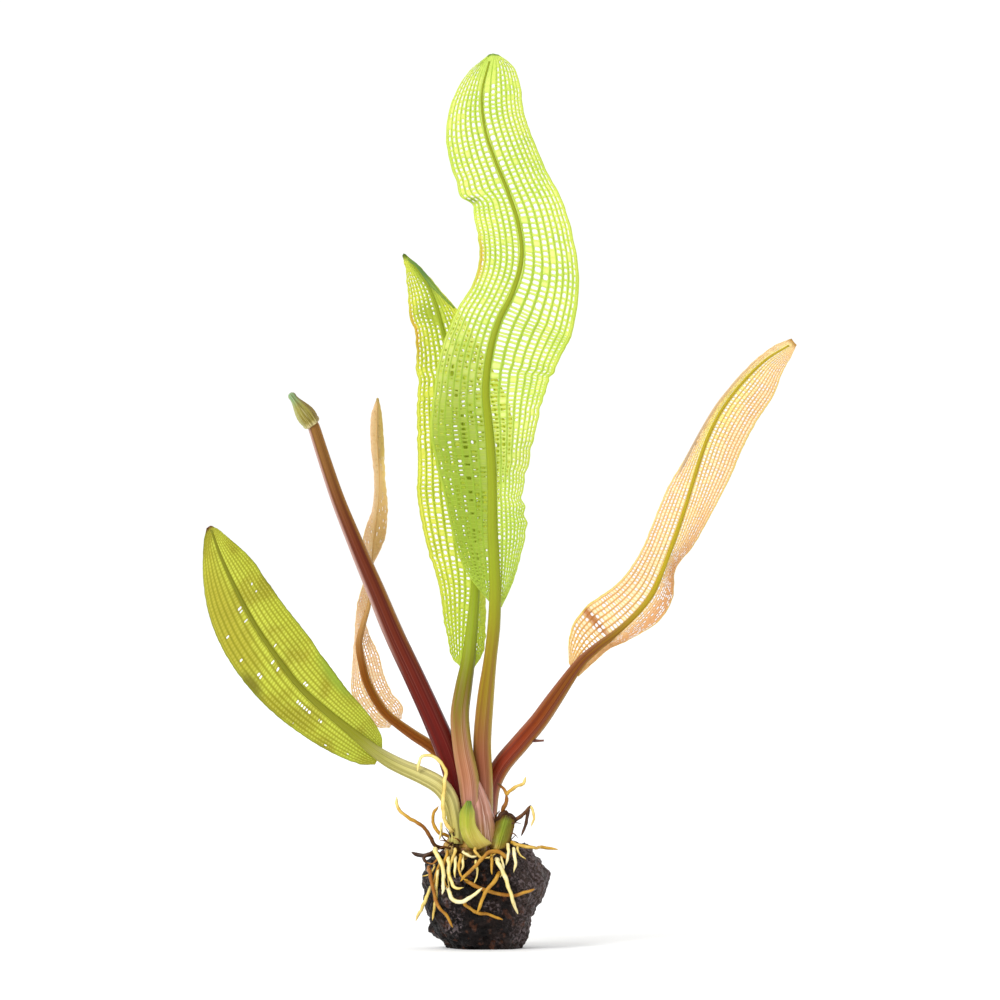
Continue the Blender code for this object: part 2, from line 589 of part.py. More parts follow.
def build():
    clear_scene()
    parts = new_collection(NAME)
    cutters = new_collection("cutters")
    materials = make_materials()

    tuber, crown = make_tuber_and_crown(parts, cutters, materials)
    front = blade("front_bract", FRONT_BRACT, 6, 4, BRACT_THICK, parts, materials["bract_green"])
    right = blade("right_bract", RIGHT_BRACT, 5, 4, BRACT_THICK, parts, materials["bract_green"])

    green, peach = materials["leaf_green"], materials["leaf_peach"]
    ribs = MIDRIB_RADIUS
    leaf("tall_leaf", TALL_BLADE, TALL_STALK, 22, 6, ribs["tall"], parts, green)
    leaf("second_leaf", SECOND_BLADE, SECOND_STALK, 16, 6, ribs["second"], parts, green)
    leaf("right_leaf", RIGHT_BLADE, RIGHT_STALK, 18, 6, ribs["right"], parts, peach)
    left_leaf = leaf(
        "left_leaf", LEFT_BLADE, LEFT_STALK, 14, 6, ribs["left"], parts, materials["leaf_left"]
    )
    leaf("twisted_leaf", TWISTED_BLADE, TWISTED_STALK, 18, 4, ribs["twisted"], parts, peach)

    stem = [Vector(p[:3]) for p in FLOWER_STALK]
    thick = [p[3] for p in FLOWER_STALK]
    tube("flower_stalk", stem, thick, TUBE_SIDES_STALK, parts, materials["stalk_red"])
    make_bud(parts, materials["bud_green"])

    bpy.context.view_layer.update()
    trees = surfaces_in_front([tuber, crown, front, right, left_leaf])
    for number, root in enumerate(ROOTS, start=1):
        make_root(f"root_{number:02d}", trees, root, parts, materials["root_cream"])
    make_root("old_root", trees, OLD_ROOT, parts, materials["tuber_black"])


build()
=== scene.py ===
# %% [markdown]
# # Madagascar lace plant
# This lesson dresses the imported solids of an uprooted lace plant: five leaves that are open
# lattices of veins, a flower stalk with a closed bud, a crown with two short bracts, a dark
# tuber and its roots. The solids only say where each piece is. Every cell below makes one
# piece or one finish, in the plant's own frame: metres, +Z up, seen from the front along +Y.

# %% Load the frame
import math
import random

import bmesh
import bpy
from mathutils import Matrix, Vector, noise
from mathutils.bvhtree import BVHTree


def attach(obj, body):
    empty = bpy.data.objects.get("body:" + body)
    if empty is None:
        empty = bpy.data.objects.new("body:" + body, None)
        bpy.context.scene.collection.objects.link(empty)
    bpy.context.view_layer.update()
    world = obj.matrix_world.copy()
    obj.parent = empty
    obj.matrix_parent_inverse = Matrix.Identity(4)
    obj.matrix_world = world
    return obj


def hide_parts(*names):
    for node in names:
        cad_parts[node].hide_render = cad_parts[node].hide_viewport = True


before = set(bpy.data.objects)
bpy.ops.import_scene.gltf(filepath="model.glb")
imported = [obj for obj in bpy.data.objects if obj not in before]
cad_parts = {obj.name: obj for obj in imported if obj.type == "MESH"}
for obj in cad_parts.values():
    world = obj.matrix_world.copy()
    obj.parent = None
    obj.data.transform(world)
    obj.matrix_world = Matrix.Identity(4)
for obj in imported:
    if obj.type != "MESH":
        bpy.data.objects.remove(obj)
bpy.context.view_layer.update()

MM = 0.001

# %% [markdown]
# ## Floor, light and camera
# The plant was photographed against pure white, lit softly from all round with a little more
# from the upper left. A uniform pale sky does the first, and one very wide sun the second.
# The sky could be one brightness for everything, but then either the white would be grey or
# the plant too bright, so rays from the camera see it brighter than the plant does.

# %% Floor
def new_material(name):
    made = bpy.data.materials.new(name)
    made.use_nodes = True
    nodes = made.node_tree.nodes
    return made, nodes, made.node_tree.links, nodes["Principled BSDF"]


bm = bmesh.new()
bmesh.ops.create_grid(bm, x_segments=2, y_segments=2, size=6.0)
floor_mesh = bpy.data.meshes.new("floor")
bm.to_mesh(floor_mesh)
bm.free()
floor = bpy.data.objects.new("floor", floor_mesh)
bpy.context.scene.collection.objects.link(floor)
floor_paper, nodes, links, shader = new_material("floor_paper")
cloud = nodes.new("ShaderNodeTexNoise")
cloud.inputs["Scale"].default_value = 3.0
shade = nodes.new("ShaderNodeMix")
shade.data_type = "RGBA"
shade.inputs["A"].default_value = (0.93, 0.93, 0.93, 1.0)
shade.inputs["B"].default_value = (0.96, 0.96, 0.96, 1.0)
where = nodes.new("ShaderNodeTexCoord")
links.new(where.outputs["Object"], cloud.inputs["Vector"])
links.new(cloud.outputs["Fac"], shade.inputs["Factor"])
links.new(shade.outputs["Result"], shader.inputs["Base Color"])
shader.inputs["Roughness"].default_value = 0.9
shader.inputs["Specular IOR Level"].default_value = 0.1
floor_mesh.materials.append(floor_paper)
print("floor", floor.dimensions.x, "m wide")

# %% Light
SKY_SEEN = 1.05
SKY_BEHIND, SKY_IN_FRONT = 1.3, 0.5
SUN_POWER = 2.1
SUN_FROM = Vector((-0.5, -0.66, 0.6))

sky = bpy.data.worlds.new("studio")
sky.use_nodes = True
sky_nodes, sky_links = sky.node_tree.nodes, sky.node_tree.links
background = sky_nodes["Background"]
background.inputs["Color"].default_value = (1.0, 1.0, 1.0, 1.0)
direction = sky_nodes.new("ShaderNodeTexCoord")
split = sky_nodes.new("ShaderNodeSeparateXYZ")
depth = sky_nodes.new("ShaderNodeMapRange")
depth.inputs["From Min"].default_value = -1.0
depth.inputs["To Min"].default_value = SKY_IN_FRONT
depth.inputs["To Max"].default_value = SKY_BEHIND
ray = sky_nodes.new("ShaderNodeLightPath")
power = sky_nodes.new("ShaderNodeMapRange")
power.inputs["To Max"].default_value = SKY_SEEN
sky_links.new(direction.outputs["Generated"], split.inputs["Vector"])
sky_links.new(split.outputs["Y"], depth.inputs["Value"])
sky_links.new(ray.outputs["Is Camera Ray"], power.inputs["Value"])
sky_links.new(depth.outputs["Result"], power.inputs["To Min"])
sky_links.new(power.outputs["Result"], background.inputs["Strength"])
bpy.context.scene.world = sky

sun_data = bpy.data.lights.new("window_light", "SUN")
sun_data.energy = SUN_POWER
sun_data.angle = math.radians(24)
sun = bpy.data.objects.new("window_light", sun_data)
sun.rotation_euler = SUN_FROM.to_track_quat("Z", "Y").to_euler()
bpy.context.scene.collection.objects.link(sun)
bpy.context.scene.view_settings.view_transform = "Standard"
print("sky", SKY_IN_FRONT, "in front and", SKY_BEHIND, "behind, sun", SUN_POWER)

# %% Camera
FRAME_WIDE = 0.250
CAMERA_AWAY = 2.5
CAMERA_X, CAMERA_Z = 0.003, 0.112

lens = bpy.data.cameras.new("camera")
lens.sensor_width = 36.0
lens.lens = lens.sensor_width * CAMERA_AWAY / FRAME_WIDE
lens.clip_start = 0.1
camera = bpy.data.objects.new("camera", lens)
camera.location = (CAMERA_X, -CAMERA_AWAY, CAMERA_Z)
camera.rotation_euler = (math.radians(90), 0.0, 0.0)
bpy.context.scene.collection.objects.link(camera)
bpy.context.scene.camera = camera
print("lens", round(lens.lens), "mm")

# %% [markdown]
# ## Tools for smooth shapes
# All long pieces of a plant are guided by a few points that a maker would mark on a sketch.
# A smooth curve through them could be a curve object, but the lattice of a leaf has to be cut
# before it is bent, so the curve is a small function here: it gives a point anywhere along
# the marks, and places that are equally far apart.

# %% Smooth curve through marks
def smooth_point(points, at):
    last = len(points) - 1
    i = min(int(at), last - 1)
    t = at - i
    b, c = points[i], points[i + 1]
    a = points[i - 1] if i > 0 else b - (c - b)
    d = points[i + 2] if i + 2 <= last else c + (c - b)
    slope_b, slope_c = (c - a) / 2, (d - b) / 2
    return (
        b * (2 * t**3 - 3 * t**2 + 1)
        + slope_b * (t**3 - 2 * t**2 + t)
        + c * (3 * t**2 - 2 * t**3)
        + slope_c * (t**3 - t**2)
    )


def even_places(points, count, bunch=0.0):
    """Places for smooth_point; with bunch they lie closer at the start than at the end."""
    fine = [i * (len(points) - 1) / 400 for i in range(401)]
    reach = [0.0]
    for a, b in zip(fine, fine[1:]):
        reach.append(reach[-1] + (smooth_point(points, b) - smooth_point(points, a)).length)
    places, k = [], 0
    for i in range(count + 1):
        t = i / count
        wanted = reach[-1] * (t - bunch * t * (1 - t))
        while k < 399 and reach[k + 1] < wanted:
            k += 1
        share = (wanted - reach[k]) / max(reach[k + 1] - reach[k], 1e-9)
        places.append(fine[k] + share * (fine[k + 1] - fine[k]))
    return places


def tone(red, green, blue):
    """A colour as the eye reads it, 0 to 255, as the linear colour that shaders take."""
    def linear(c):
        c = c / 255
        return c / 12.92 if c <= 0.04045 else ((c + 0.055) / 1.055) ** 2.4

    return (linear(red), linear(green), linear(blue), 1.0)


# %% Put a finished mesh in the scene
def finish_piece(name, bm, material, node):
    """Makes the piece, hangs it on the plant's body and lets it stand for its solid."""
    bmesh.ops.recalc_face_normals(bm, faces=bm.faces)
    mesh = bpy.data.meshes.new(name)
    bm.to_mesh(mesh)
    bm.free()
    mesh.materials.append(material)
    mesh.shade_smooth()
    piece = bpy.data.objects.new(name, mesh)
    bpy.context.scene.collection.objects.link(piece)
    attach(piece, "root")
    if node:
        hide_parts(node)
    print(name, len(mesh.polygons), "faces")
    return piece


# %% [markdown]
# ## Finish of the leaves
# A lace leaf is a film of bright tissue stretched over darker veins, and light comes through
# it. The colour shifts from the midrib to the margins and from the stalk to the tip. It could
# be painted, but the lattice already knows where its veins are: each point keeps how far it
# is across the blade, how far along, and whether it lies on a vein, in an attribute called
# skin. One node group turns those three numbers into colour, gloss and relief for all leaves.

# %% Small helpers for node groups
def group_of(name, colours, numbers, outputs=("Colour", "Roughness", "Height")):
    made = bpy.data.node_groups.new(name, "ShaderNodeTree")
    for label in colours:
        made.interface.new_socket(label, in_out="INPUT", socket_type="NodeSocketColor")
    for label, value in numbers.items():
        socket = made.interface.new_socket(label, in_out="INPUT", socket_type="NodeSocketFloat")
        socket.default_value = value
    for label in outputs:
        kind = "NodeSocketColor" if label == "Colour" else "NodeSocketFloat"
        made.interface.new_socket(label, in_out="OUTPUT", socket_type=kind)
    start = made.nodes.new("NodeGroupInput")
    end = made.nodes.new("NodeGroupOutput")
    return made, start, end


def add(tree, kind, **settings):
    node = tree.nodes.new("ShaderNode" + kind)
    for key, value in settings.items():
        setattr(node, key, value)
    return node


def feed(tree, socket, value):
    if isinstance(value, bpy.types.NodeSocket):
        tree.links.new(value, socket)
    else:
        socket.default_value = value


def sums(tree, operation, a, b=0.0, clamp=False):
    node = add(tree, "Math", operation=operation, use_clamp=clamp)
    feed(tree, node.inputs[0], a)
    feed(tree, node.inputs[1], b)
    return node.outputs[0]


def ease(tree, value, low, high):
    """0 where the value is under low, 1 over high, smooth between."""
    node = add(tree, "MapRange", interpolation_type="SMOOTHSTEP")
    feed(tree, node.inputs["Value"], value)
    feed(tree, node.inputs["From Min"], low)
    feed(tree, node.inputs["From Max"], high)
    return node.outputs["Result"]


def blend(tree, factor, a, b):
    node = add(tree, "Mix", data_type="RGBA")
    feed(tree, node.inputs["Factor"], factor)
    feed(tree, node.inputs[6], a)
    feed(tree, node.inputs[7], b)
    return node.outputs[2]


def speckle(tree, scale, detail=3.0, vector=None, stretch=None):
    """A noise value on the object's own coordinates, or on another vector."""
    if vector is None:
        vector = add(tree, "TexCoord").outputs["Object"]
    if stretch:
        mapping = add(tree, "Mapping")
        tree.links.new(vector, mapping.inputs["Vector"])
        mapping.inputs["Scale"].default_value = stretch
        vector = mapping.outputs["Vector"]
    node = add(tree, "TexNoise")
    tree.links.new(vector, node.inputs["Vector"])
    node.inputs["Scale"].default_value = scale
    node.inputs["Detail"].default_value = detail
    return node.outputs["Fac"]


# %% Lace tint group
lace_tint, given, result = group_of(
    "lace_tint",
    ("Inner", "Outer", "Base", "Vein", "Rung", "Film", "Margin", "Mottle", "Patch", "Stain",
     "Band", "Tip"),
    {"Vein Wide": 0.13, "Vein Amount": 0.9, "Rung Wide": 0.16, "Rung Amount": 0.35,
     "Mottle Amount": 0.3, "Cell Amount": 0.3, "Margin From": 0.94, "Tip From": 0.985,
     "Patch Across": 0.0, "Patch Along": 0.5, "Patch Reach": 0.3, "Patch Stretch": 3.0,
     "Stain Across": 0.0, "Stain Along": 0.5, "Stain Reach": 0.3, "Stain Stretch": 3.0,
     "Band Across": 0.0, "Band Along": 9.0, "Band Reach": 0.3, "Band Stretch": 30.0},
)
skin = add(lace_tint, "Attribute", attribute_name="skin")
parts = add(lace_tint, "SeparateXYZ")
lace_tint.links.new(skin.outputs["Vector"], parts.inputs["Vector"])
across, along, cell_tone = parts.outputs
film = add(lace_tint, "Attribute", attribute_name="film").outputs["Fac"]
in_cell = add(lace_tint, "SeparateXYZ")
lace_tint.links.new(add(lace_tint, "UVMap", uv_map="cell").outputs["UV"], in_cell.inputs["Vector"])
off_rib = sums(lace_tint, "ABSOLUTE", across)


def near_line(place, wide):
    """1 on the two lines where the place in the cell is 0 or 1, 0 at wide off them."""
    off = sums(lace_tint, "ABSOLUTE", sums(lace_tint, "SUBTRACT", place, 0.5))
    return ease(lace_tint, sums(lace_tint, "SUBTRACT", 0.5, off), given.outputs[wide], 0.02)


def near_spot(label):
    """1 in the middle of a patch of the blade, 0 at its reach."""
    side = sums(lace_tint, "SUBTRACT", across, given.outputs[label + " Across"])
    up = sums(lace_tint, "SUBTRACT", along, given.outputs[label + " Along"])
    up = sums(lace_tint, "MULTIPLY", up, given.outputs[label + " Stretch"])
    away = sums(lace_tint, "ADD", sums(lace_tint, "MULTIPLY", side, side),
                sums(lace_tint, "MULTIPLY", up, up))
    away = sums(lace_tint, "DIVIDE", sums(lace_tint, "SQRT", away), given.outputs[label + " Reach"])
    return ease(lace_tint, away, 1.0, 0.25)


def times(a, b):
    return sums(lace_tint, "MULTIPLY", a, b)


vein = near_line(in_cell.outputs["X"], "Vein Wide")
rung = near_line(in_cell.outputs["Y"], "Rung Wide")
colour = blend(lace_tint, ease(lace_tint, off_rib, 0.1, 0.85), given.outputs["Inner"],
               given.outputs["Outer"])
colour = blend(lace_tint, ease(lace_tint, along, 0.0, 0.3), given.outputs["Base"], colour)
cloudy = ease(lace_tint, speckle(lace_tint, 170.0), 0.42, 0.66)
colour = blend(lace_tint, times(cloudy, given.outputs["Mottle Amount"]), colour,
               given.outputs["Mottle"])
colour = blend(lace_tint, times(ease(lace_tint, cell_tone, 0.5, 1.0), given.outputs["Cell Amount"]),
               colour, given.outputs["Mottle"])
colour = blend(lace_tint, times(film, ease(lace_tint, cell_tone, -0.4, 0.9)), colour,
               given.outputs["Film"])
colour = blend(lace_tint, times(near_spot("Patch"), 0.85), colour, given.outputs["Patch"])
colour = blend(lace_tint, times(rung, given.outputs["Rung Amount"]), colour,
               given.outputs["Rung"])
colour = blend(lace_tint, times(vein, given.outputs["Vein Amount"]), colour,
               given.outputs["Vein"])
for label in ("Stain", "Band"):
    colour = blend(lace_tint, times(near_spot(label), 0.8), colour, given.outputs[label])
at_edge = ease(lace_tint, off_rib, given.outputs["Margin From"], 1.0)
colour = blend(lace_tint, times(at_edge, 0.85), colour, given.outputs["Margin"])
colour = blend(lace_tint, ease(lace_tint, along, given.outputs["Tip From"], 1.0), colour,
               given.outputs["Tip"])
lace_tint.links.new(colour, result.inputs["Colour"])
grain = speckle(lace_tint, 1500.0, 2.0)
feed(lace_tint, result.inputs["Roughness"], sums(lace_tint, "ADD", times(grain, 0.25), 0.32))
relief = sums(lace_tint, "ADD", times(grain, 0.25), vein)
feed(lace_tint, result.inputs["Height"], sums(lace_tint, "ADD", times(rung, 0.5), relief))

# %% Make a leaf's material
def lace_material(name, through, colours, numbers):
    """Tissue that shines by the light on it and by the light behind it."""
    made, nodes, links, shader = new_material(name)
    tint = nodes.new("ShaderNodeGroup")
    tint.node_tree = lace_tint
    for label, value in colours.items():
        tint.inputs[label].default_value = tone(*value)
    for label, value in numbers.items():
        tint.inputs[label].default_value = value
    bump = nodes.new("ShaderNodeBump")
    bump.inputs["Strength"].default_value = 0.4
    bump.inputs["Distance"].default_value = 0.0002
    behind = nodes.new("ShaderNodeBsdfTranslucent")
    mixed = nodes.new("ShaderNodeMixShader")
    mixed.inputs["Fac"].default_value = through
    links.new(tint.outputs["Height"], bump.inputs["Height"])
    links.new(bump.outputs["Normal"], shader.inputs["Normal"])
    links.new(tint.outputs["Colour"], shader.inputs["Base Color"])
    links.new(tint.outputs["Roughness"], shader.inputs["Roughness"])
    links.new(tint.outputs["Colour"], behind.inputs["Color"])
    links.new(shader.outputs["BSDF"], mixed.inputs[1])
    links.new(behind.outputs["BSDF"], mixed.inputs[2])
    links.new(mixed.outputs["Shader"], nodes["Material Output"].inputs["Surface"])
    shader.inputs["Specular IOR Level"].default_value = 0.2
    return made


# Its Patch is painted shade: darker green low on the left half, where the second leaf lies behind
# and less light comes through. Its Band is painted shade in the fold of the left margin.
TALL_LACE = lace_material(
    "tall_lace", 0.55,
    {"Inner": (238, 246, 150), "Outer": (246, 250, 158), "Base": (220, 234, 116),
     "Vein": (188, 214, 82), "Rung": (224, 240, 120), "Film": (246, 250, 186),
     "Margin": (216, 232, 92), "Mottle": (210, 234, 110), "Patch": (176, 198, 56),
     "Stain": (240, 190, 84), "Band": (150, 176, 60), "Tip": (132, 168, 60)},
    {"Vein Wide": 0.2, "Mottle Amount": 0.45, "Patch Across": -0.62, "Patch Along": 0.2,
     "Patch Reach": 0.95, "Stain Across": -1.1, "Stain Along": 0.6, "Stain Reach": 0.3,
     "Band Across": -1.0, "Band Along": 0.745, "Band Reach": 0.4, "Tip From": 0.994},
)
SECOND_LACE = lace_material(
    "second_lace", 0.5,
    {"Inner": (224, 234, 108), "Outer": (242, 242, 118), "Base": (204, 222, 84),
     "Vein": (184, 204, 66), "Rung": (220, 230, 98), "Film": (242, 244, 156),
     "Margin": (214, 220, 80), "Mottle": (208, 216, 78), "Patch": (178, 200, 62),
     "Stain": (222, 142, 56), "Band": (190, 206, 74), "Tip": (110, 136, 50)},
    {"Vein Wide": 0.2, "Mottle Amount": 0.45, "Patch Across": 0.1, "Patch Along": 0.99,
     "Patch Reach": 0.6, "Stain Across": -1.12, "Stain Along": 0.8, "Stain Reach": 0.34,
     "Band Across": -0.4, "Band Along": 0.84, "Band Reach": 0.6, "Band Stretch": 14.0,
     "Tip From": 0.98},
)
RIGHT_LACE = lace_material(
    "right_lace", 0.5,
    {"Inner": (252, 242, 190), "Outer": (252, 230, 186), "Base": (250, 222, 150),
     "Vein": (228, 178, 112), "Rung": (246, 214, 158), "Film": (255, 250, 232),
     "Margin": (240, 228, 120), "Mottle": (246, 216, 156), "Patch": (244, 244, 152),
     "Stain": (228, 178, 120), "Band": (206, 138, 72), "Tip": (206, 164, 84)},
    {"Vein Wide": 0.24, "Vein Amount": 0.8, "Mottle Amount": 0.4, "Rung Amount": 0.5,
     "Patch Across": -0.15, "Patch Along": 0.76, "Patch Reach": 0.75,
     "Stain Across": 0.9, "Stain Along": 0.24, "Stain Reach": 0.95, "Band Across": -0.62,
     "Band Along": 0.12, "Band Reach": 1.0, "Band Stretch": 75.0, "Tip From": 0.985},
)
LEFT_LACE = lace_material(
    "left_lace", 0.45,
    {"Inner": (230, 238, 100), "Outer": (218, 226, 84), "Base": (216, 230, 92),
     "Vein": (164, 162, 42), "Rung": (190, 188, 56), "Film": (240, 246, 116),
     "Margin": (152, 160, 42), "Mottle": (172, 154, 46), "Patch": (212, 202, 80),
     "Stain": (172, 198, 72), "Band": (140, 134, 44), "Tip": (122, 74, 40)},
    {"Vein Wide": 0.34, "Vein Amount": 0.75, "Rung Wide": 0.5, "Rung Amount": 0.6,
     "Mottle Amount": 0.7, "Cell Amount": 0.3, "Margin From": 0.93,
     "Patch Across": -0.75, "Patch Along": 0.72, "Patch Reach": 0.9,
     "Stain Across": 1.0, "Stain Along": 0.3, "Stain Reach": 0.4, "Band Across": -0.95,
     "Band Along": 0.5, "Band Reach": 0.3, "Band Stretch": 4.0, "Tip From": 0.985},
)
TWISTED_LACE = lace_material(
    "twisted_lace", 0.45,
    {"Inner": (255, 238, 200), "Outer": (252, 228, 196), "Base": (254, 234, 196),
     "Vein": (236, 190, 144), "Rung": (248, 214, 170), "Film": (255, 250, 232),
     "Margin": (246, 226, 146), "Mottle": (238, 204, 146), "Patch": (208, 178, 100),
     "Stain": (222, 194, 130), "Band": (230, 210, 128), "Tip": (206, 180, 96)},
    {"Vein Wide": 0.26, "Vein Amount": 0.8, "Mottle Amount": 0.4, "Rung Amount": 0.5,
     "Patch Across": 0.5, "Patch Along": 0.64, "Patch Reach": 0.9,
     "Stain Across": 0.1, "Stain Along": 0.86, "Stain Reach": 1.5, "Band Across": 1.0,
     "Band Along": 0.9, "Band Reach": 0.9, "Band Stretch": 3.0, "Tip From": 0.98},
)
print("five leaf materials share the group", lace_tint.name)

# %% [markdown]
# ## The lattice of a leaf
# In a lace leaf long veins run from stalk to tip and short cross veins join them like rungs,
# with nothing, or only a thin film, in between. Cutting each window with a Boolean would be
# slow and rough. It is easier to start from a flat grid with one column between each pair
# of long veins and more rows than there are rungs. The rows that aren't a rung are dissolved
# column by column, so that the rungs of neighbours don't line up. Each cell is inset, its
# inner corners are rounded by moving the points that the dissolved rows left on its sides,
# and the inner face is deleted. Only then is the sheet bent into the leaf's shape.

# %% Flat grid with its long veins
def long_veins(left, right):
    """Where the grid's upright lines lie: 1 and -1 are the midrib's sides, 2 and -2 the margins."""
    def spread(widths):
        total, reach = sum(widths), 0.0
        spots = [1.0]
        for width in widths:
            reach += width
            spots.append(1.0 + reach / total)
        return spots

    return [-s for s in reversed(spread(left))] + [0.0] + spread(right)


def flat_grid(spots, rows):
    bm = bmesh.new()
    columns = len(spots) - 1
    bmesh.ops.create_grid(bm, x_segments=columns, y_segments=rows, size=1.0)
    places = {}
    for vert in bm.verts:
        i = round((vert.co.x + 1) / 2 * columns)
        j = round((vert.co.y + 1) / 2 * rows)
        vert.co = (spots[i], j, 0.0)
        places[vert] = (i, j)
    return bm, places


# %% Rungs at their own heights in each column
def set_rungs(bm, places, lace_columns, rows, rung, chance):
    """Keeps one row in about rung rows of each column, and dissolves the others."""
    kept = {}
    for c in lace_columns:
        j = chance.randint(1, rung)
        kept[c] = {0, rows}
        while j < rows - 1:
            kept[c].add(j)
            j += chance.choices((rung - 1, rung, rung + 1), (1, 9, 1))[0]
    spare = []
    for edge in bm.edges:
        (i, j), (k, m) = places[edge.verts[0]], places[edge.verts[1]]
        c = min(i, k)
        if j == m and c in kept and 0 < j < rows and j not in kept[c]:
            spare.append(edge)
    bmesh.ops.dissolve_edges(bm, edges=spare, use_verts=False, use_face_split=False)


# %% Windows between the rungs
def open_windows(bm, spots, lace_columns, blade, veins, is_open, films, chance):
    """Insets each cell to its veins' thickness in mm, rounds it, and opens it or films it over.

    Gives each inner point's own tone, and lays each cell out in the map called cell."""
    film = bm.faces.layers.float.new("film")
    cell_map = bm.loops.layers.uv.new("cell")
    cells = []
    for face in bm.faces:
        middle = face.calc_center_bounds().x
        c = sum(1 for s in spots if s < middle) - 1
        if c in lace_columns:
            ys = [v.co.y for v in face.verts]
            cells.append((face, spots[c], spots[c + 1], round(min(ys)), round(max(ys))))
    bmesh.ops.inset_individual(bm, faces=[cell[0] for cell in cells], thickness=0.001)
    home, tones, opened = {}, {}, []
    for face, x0, x1, j0, j1 in cells:
        xm, jm = (x0 + x1) / 2, (j0 + j1) / 2
        share, up = blade.across(xm, jm), blade.up(jm)
        wide = (blade(x1, jm) - blade(x0, jm)).length
        high = (blade(xm, j1) - blade(xm, j0)).length
        long_vein, rung_vein = veins(share, up)
        side = min(long_vein * chance.uniform(0.85, 1.2), 0.34 * wide) / wide
        rim = min(rung_vein * chance.uniform(0.8, 1.25), 0.36 * high) / high
        corner = 0.26 * min(wide * (1 - 2 * side), high * (1 - 2 * rim))
        corner_x, corner_y = corner / wide, corner / high
        own_tone, count = chance.random(), j1 - j0
        for vert in face.verts:
            step = round(vert.co.y) - j0
            if step in (0, count):
                tx, ty = side + corner_x, 1 - rim if step == count else rim
            else:
                part = (step - 1) / (count - 2) if count > 2 else 0.5
                tx, ty = side, rim + corner_y + part * (1 - 2 * rim - 2 * corner_y)
            tx = 1 - tx if vert.co.x > xm else tx
            home[vert], tones[vert] = (tx, ty, x0, x1, j0, j1), own_tone
            vert.co.x, vert.co.y = x0 + tx * (x1 - x0), j0 + ty * (j1 - j0)
        if is_open(share, up, blade(xm, jm), chance):
            opened.append(face)
        else:
            face[film] = films(share, up)
    for face in bm.faces:
        cell = next((home[v] for v in face.verts if v in home), None)
        for loop in face.loops:
            if cell is None:
                loop[cell_map].uv = (0.5, 0.5)
            elif loop.vert in home:
                loop[cell_map].uv = home[loop.vert][:2]
            else:
                x0, x1, j0, j1 = cell[2:]
                spot = loop.vert.co
                loop[cell_map].uv = ((spot.x - x0) / (x1 - x0), (spot.y - j0) / (j1 - j0))
    bmesh.ops.delete(bm, geom=opened, context="FACES")
    return tones, len(cells), len(opened)


# %% Bend the sheet into the leaf
class Blade:
    """The leaf's surface: a call with grid line x and row j gives the point there, in mm.

    A crease is (side, how far up, how wide as a share of the length, how deep and how far
    sideways in mm), and ragged(side, up) says how far, in mm, a margin is nibbled."""

    def __init__(self, marks, rows, bunch, rib, arch, ripple, seed, creases=(),
                 ragged=lambda side, up: 0.0):
        middle = [Vector((m[2], m[7], m[3])) for m in marks]
        lefts = [Vector((m[0], m[6], m[1])) for m in marks]
        rights = [Vector((m[4], m[8], m[5])) for m in marks]
        places = even_places(middle, rows, bunch)
        self.lines = [[smooth_point(p, at) for p in (lefts, middle, rights)] for at in places]
        self.rows, self.rib, self.arch, self.ripple, self.seed = rows, rib, arch, ripple, seed
        self.creases, self.ragged = creases, ragged
        self.reach = [0.0]
        for a, b in zip(self.lines, self.lines[1:]):
            self.reach.append(self.reach[-1] + (b[1] - a[1]).length)

    def up(self, j):
        k = max(0, min(int(j), self.rows - 1))
        return (self.reach[k] + (j - k) * (self.reach[k + 1] - self.reach[k])) / self.reach[-1]

    def line(self, j):
        k = max(0, min(int(j), self.rows - 1))
        return [a.lerp(b, j - k) for a, b in zip(self.lines[k], self.lines[k + 1])]

    def across(self, x, j):
        left, middle, right = self.line(j)
        half = max(((left if x < 0 else right) - middle).length, 1e-4)
        up = self.up(j)
        rib = min(0.42, (self.rib[0] + (self.rib[1] - self.rib[0]) * up) / half)
        q = abs(x)
        share = rib * q if q < 1 else rib + (1 - rib) * (q - 1)
        return -share if x < 0 else share

    def __call__(self, x, j):
        inside = max(0.0, min(1.0, j / 4, (self.rows - j) / 4))
        j += inside * 0.9 * noise.noise((x * 2.4, j * 0.14, self.seed + 5))
        left, middle, right = self.line(j)
        share, up = self.across(x, j), self.up(j)
        side = -1 if share < 0 else 1
        edge = left if share < 0 else right
        outer = max(0.0, abs(share) - 0.6) / 0.4
        nibble = self.ragged(side, up) * outer * noise.noise((side, up * 60.0, self.seed))
        swell = self.arch * 4 * abs(share) * (1 - abs(share)) * min(1.0, 8 * up, 8 * (1 - up))
        wave = noise.noise((share * 1.4, up * 9.0, self.seed)) * self.ripple * abs(share)
        for crease_side, at, wide, deep, sideways in self.creases:
            t = (up - at) / wide
            if side == crease_side and abs(t) < 3:
                wave += deep * t * math.exp(-t * t) * abs(share)
                nibble += sideways * 2.3 * t * math.exp(-t * t) * abs(share)
        spot = middle.lerp(edge, abs(share) + nibble / max((edge - middle).length, 1e-3))
        return spot + Vector((0.0, wave - swell, 0.0))


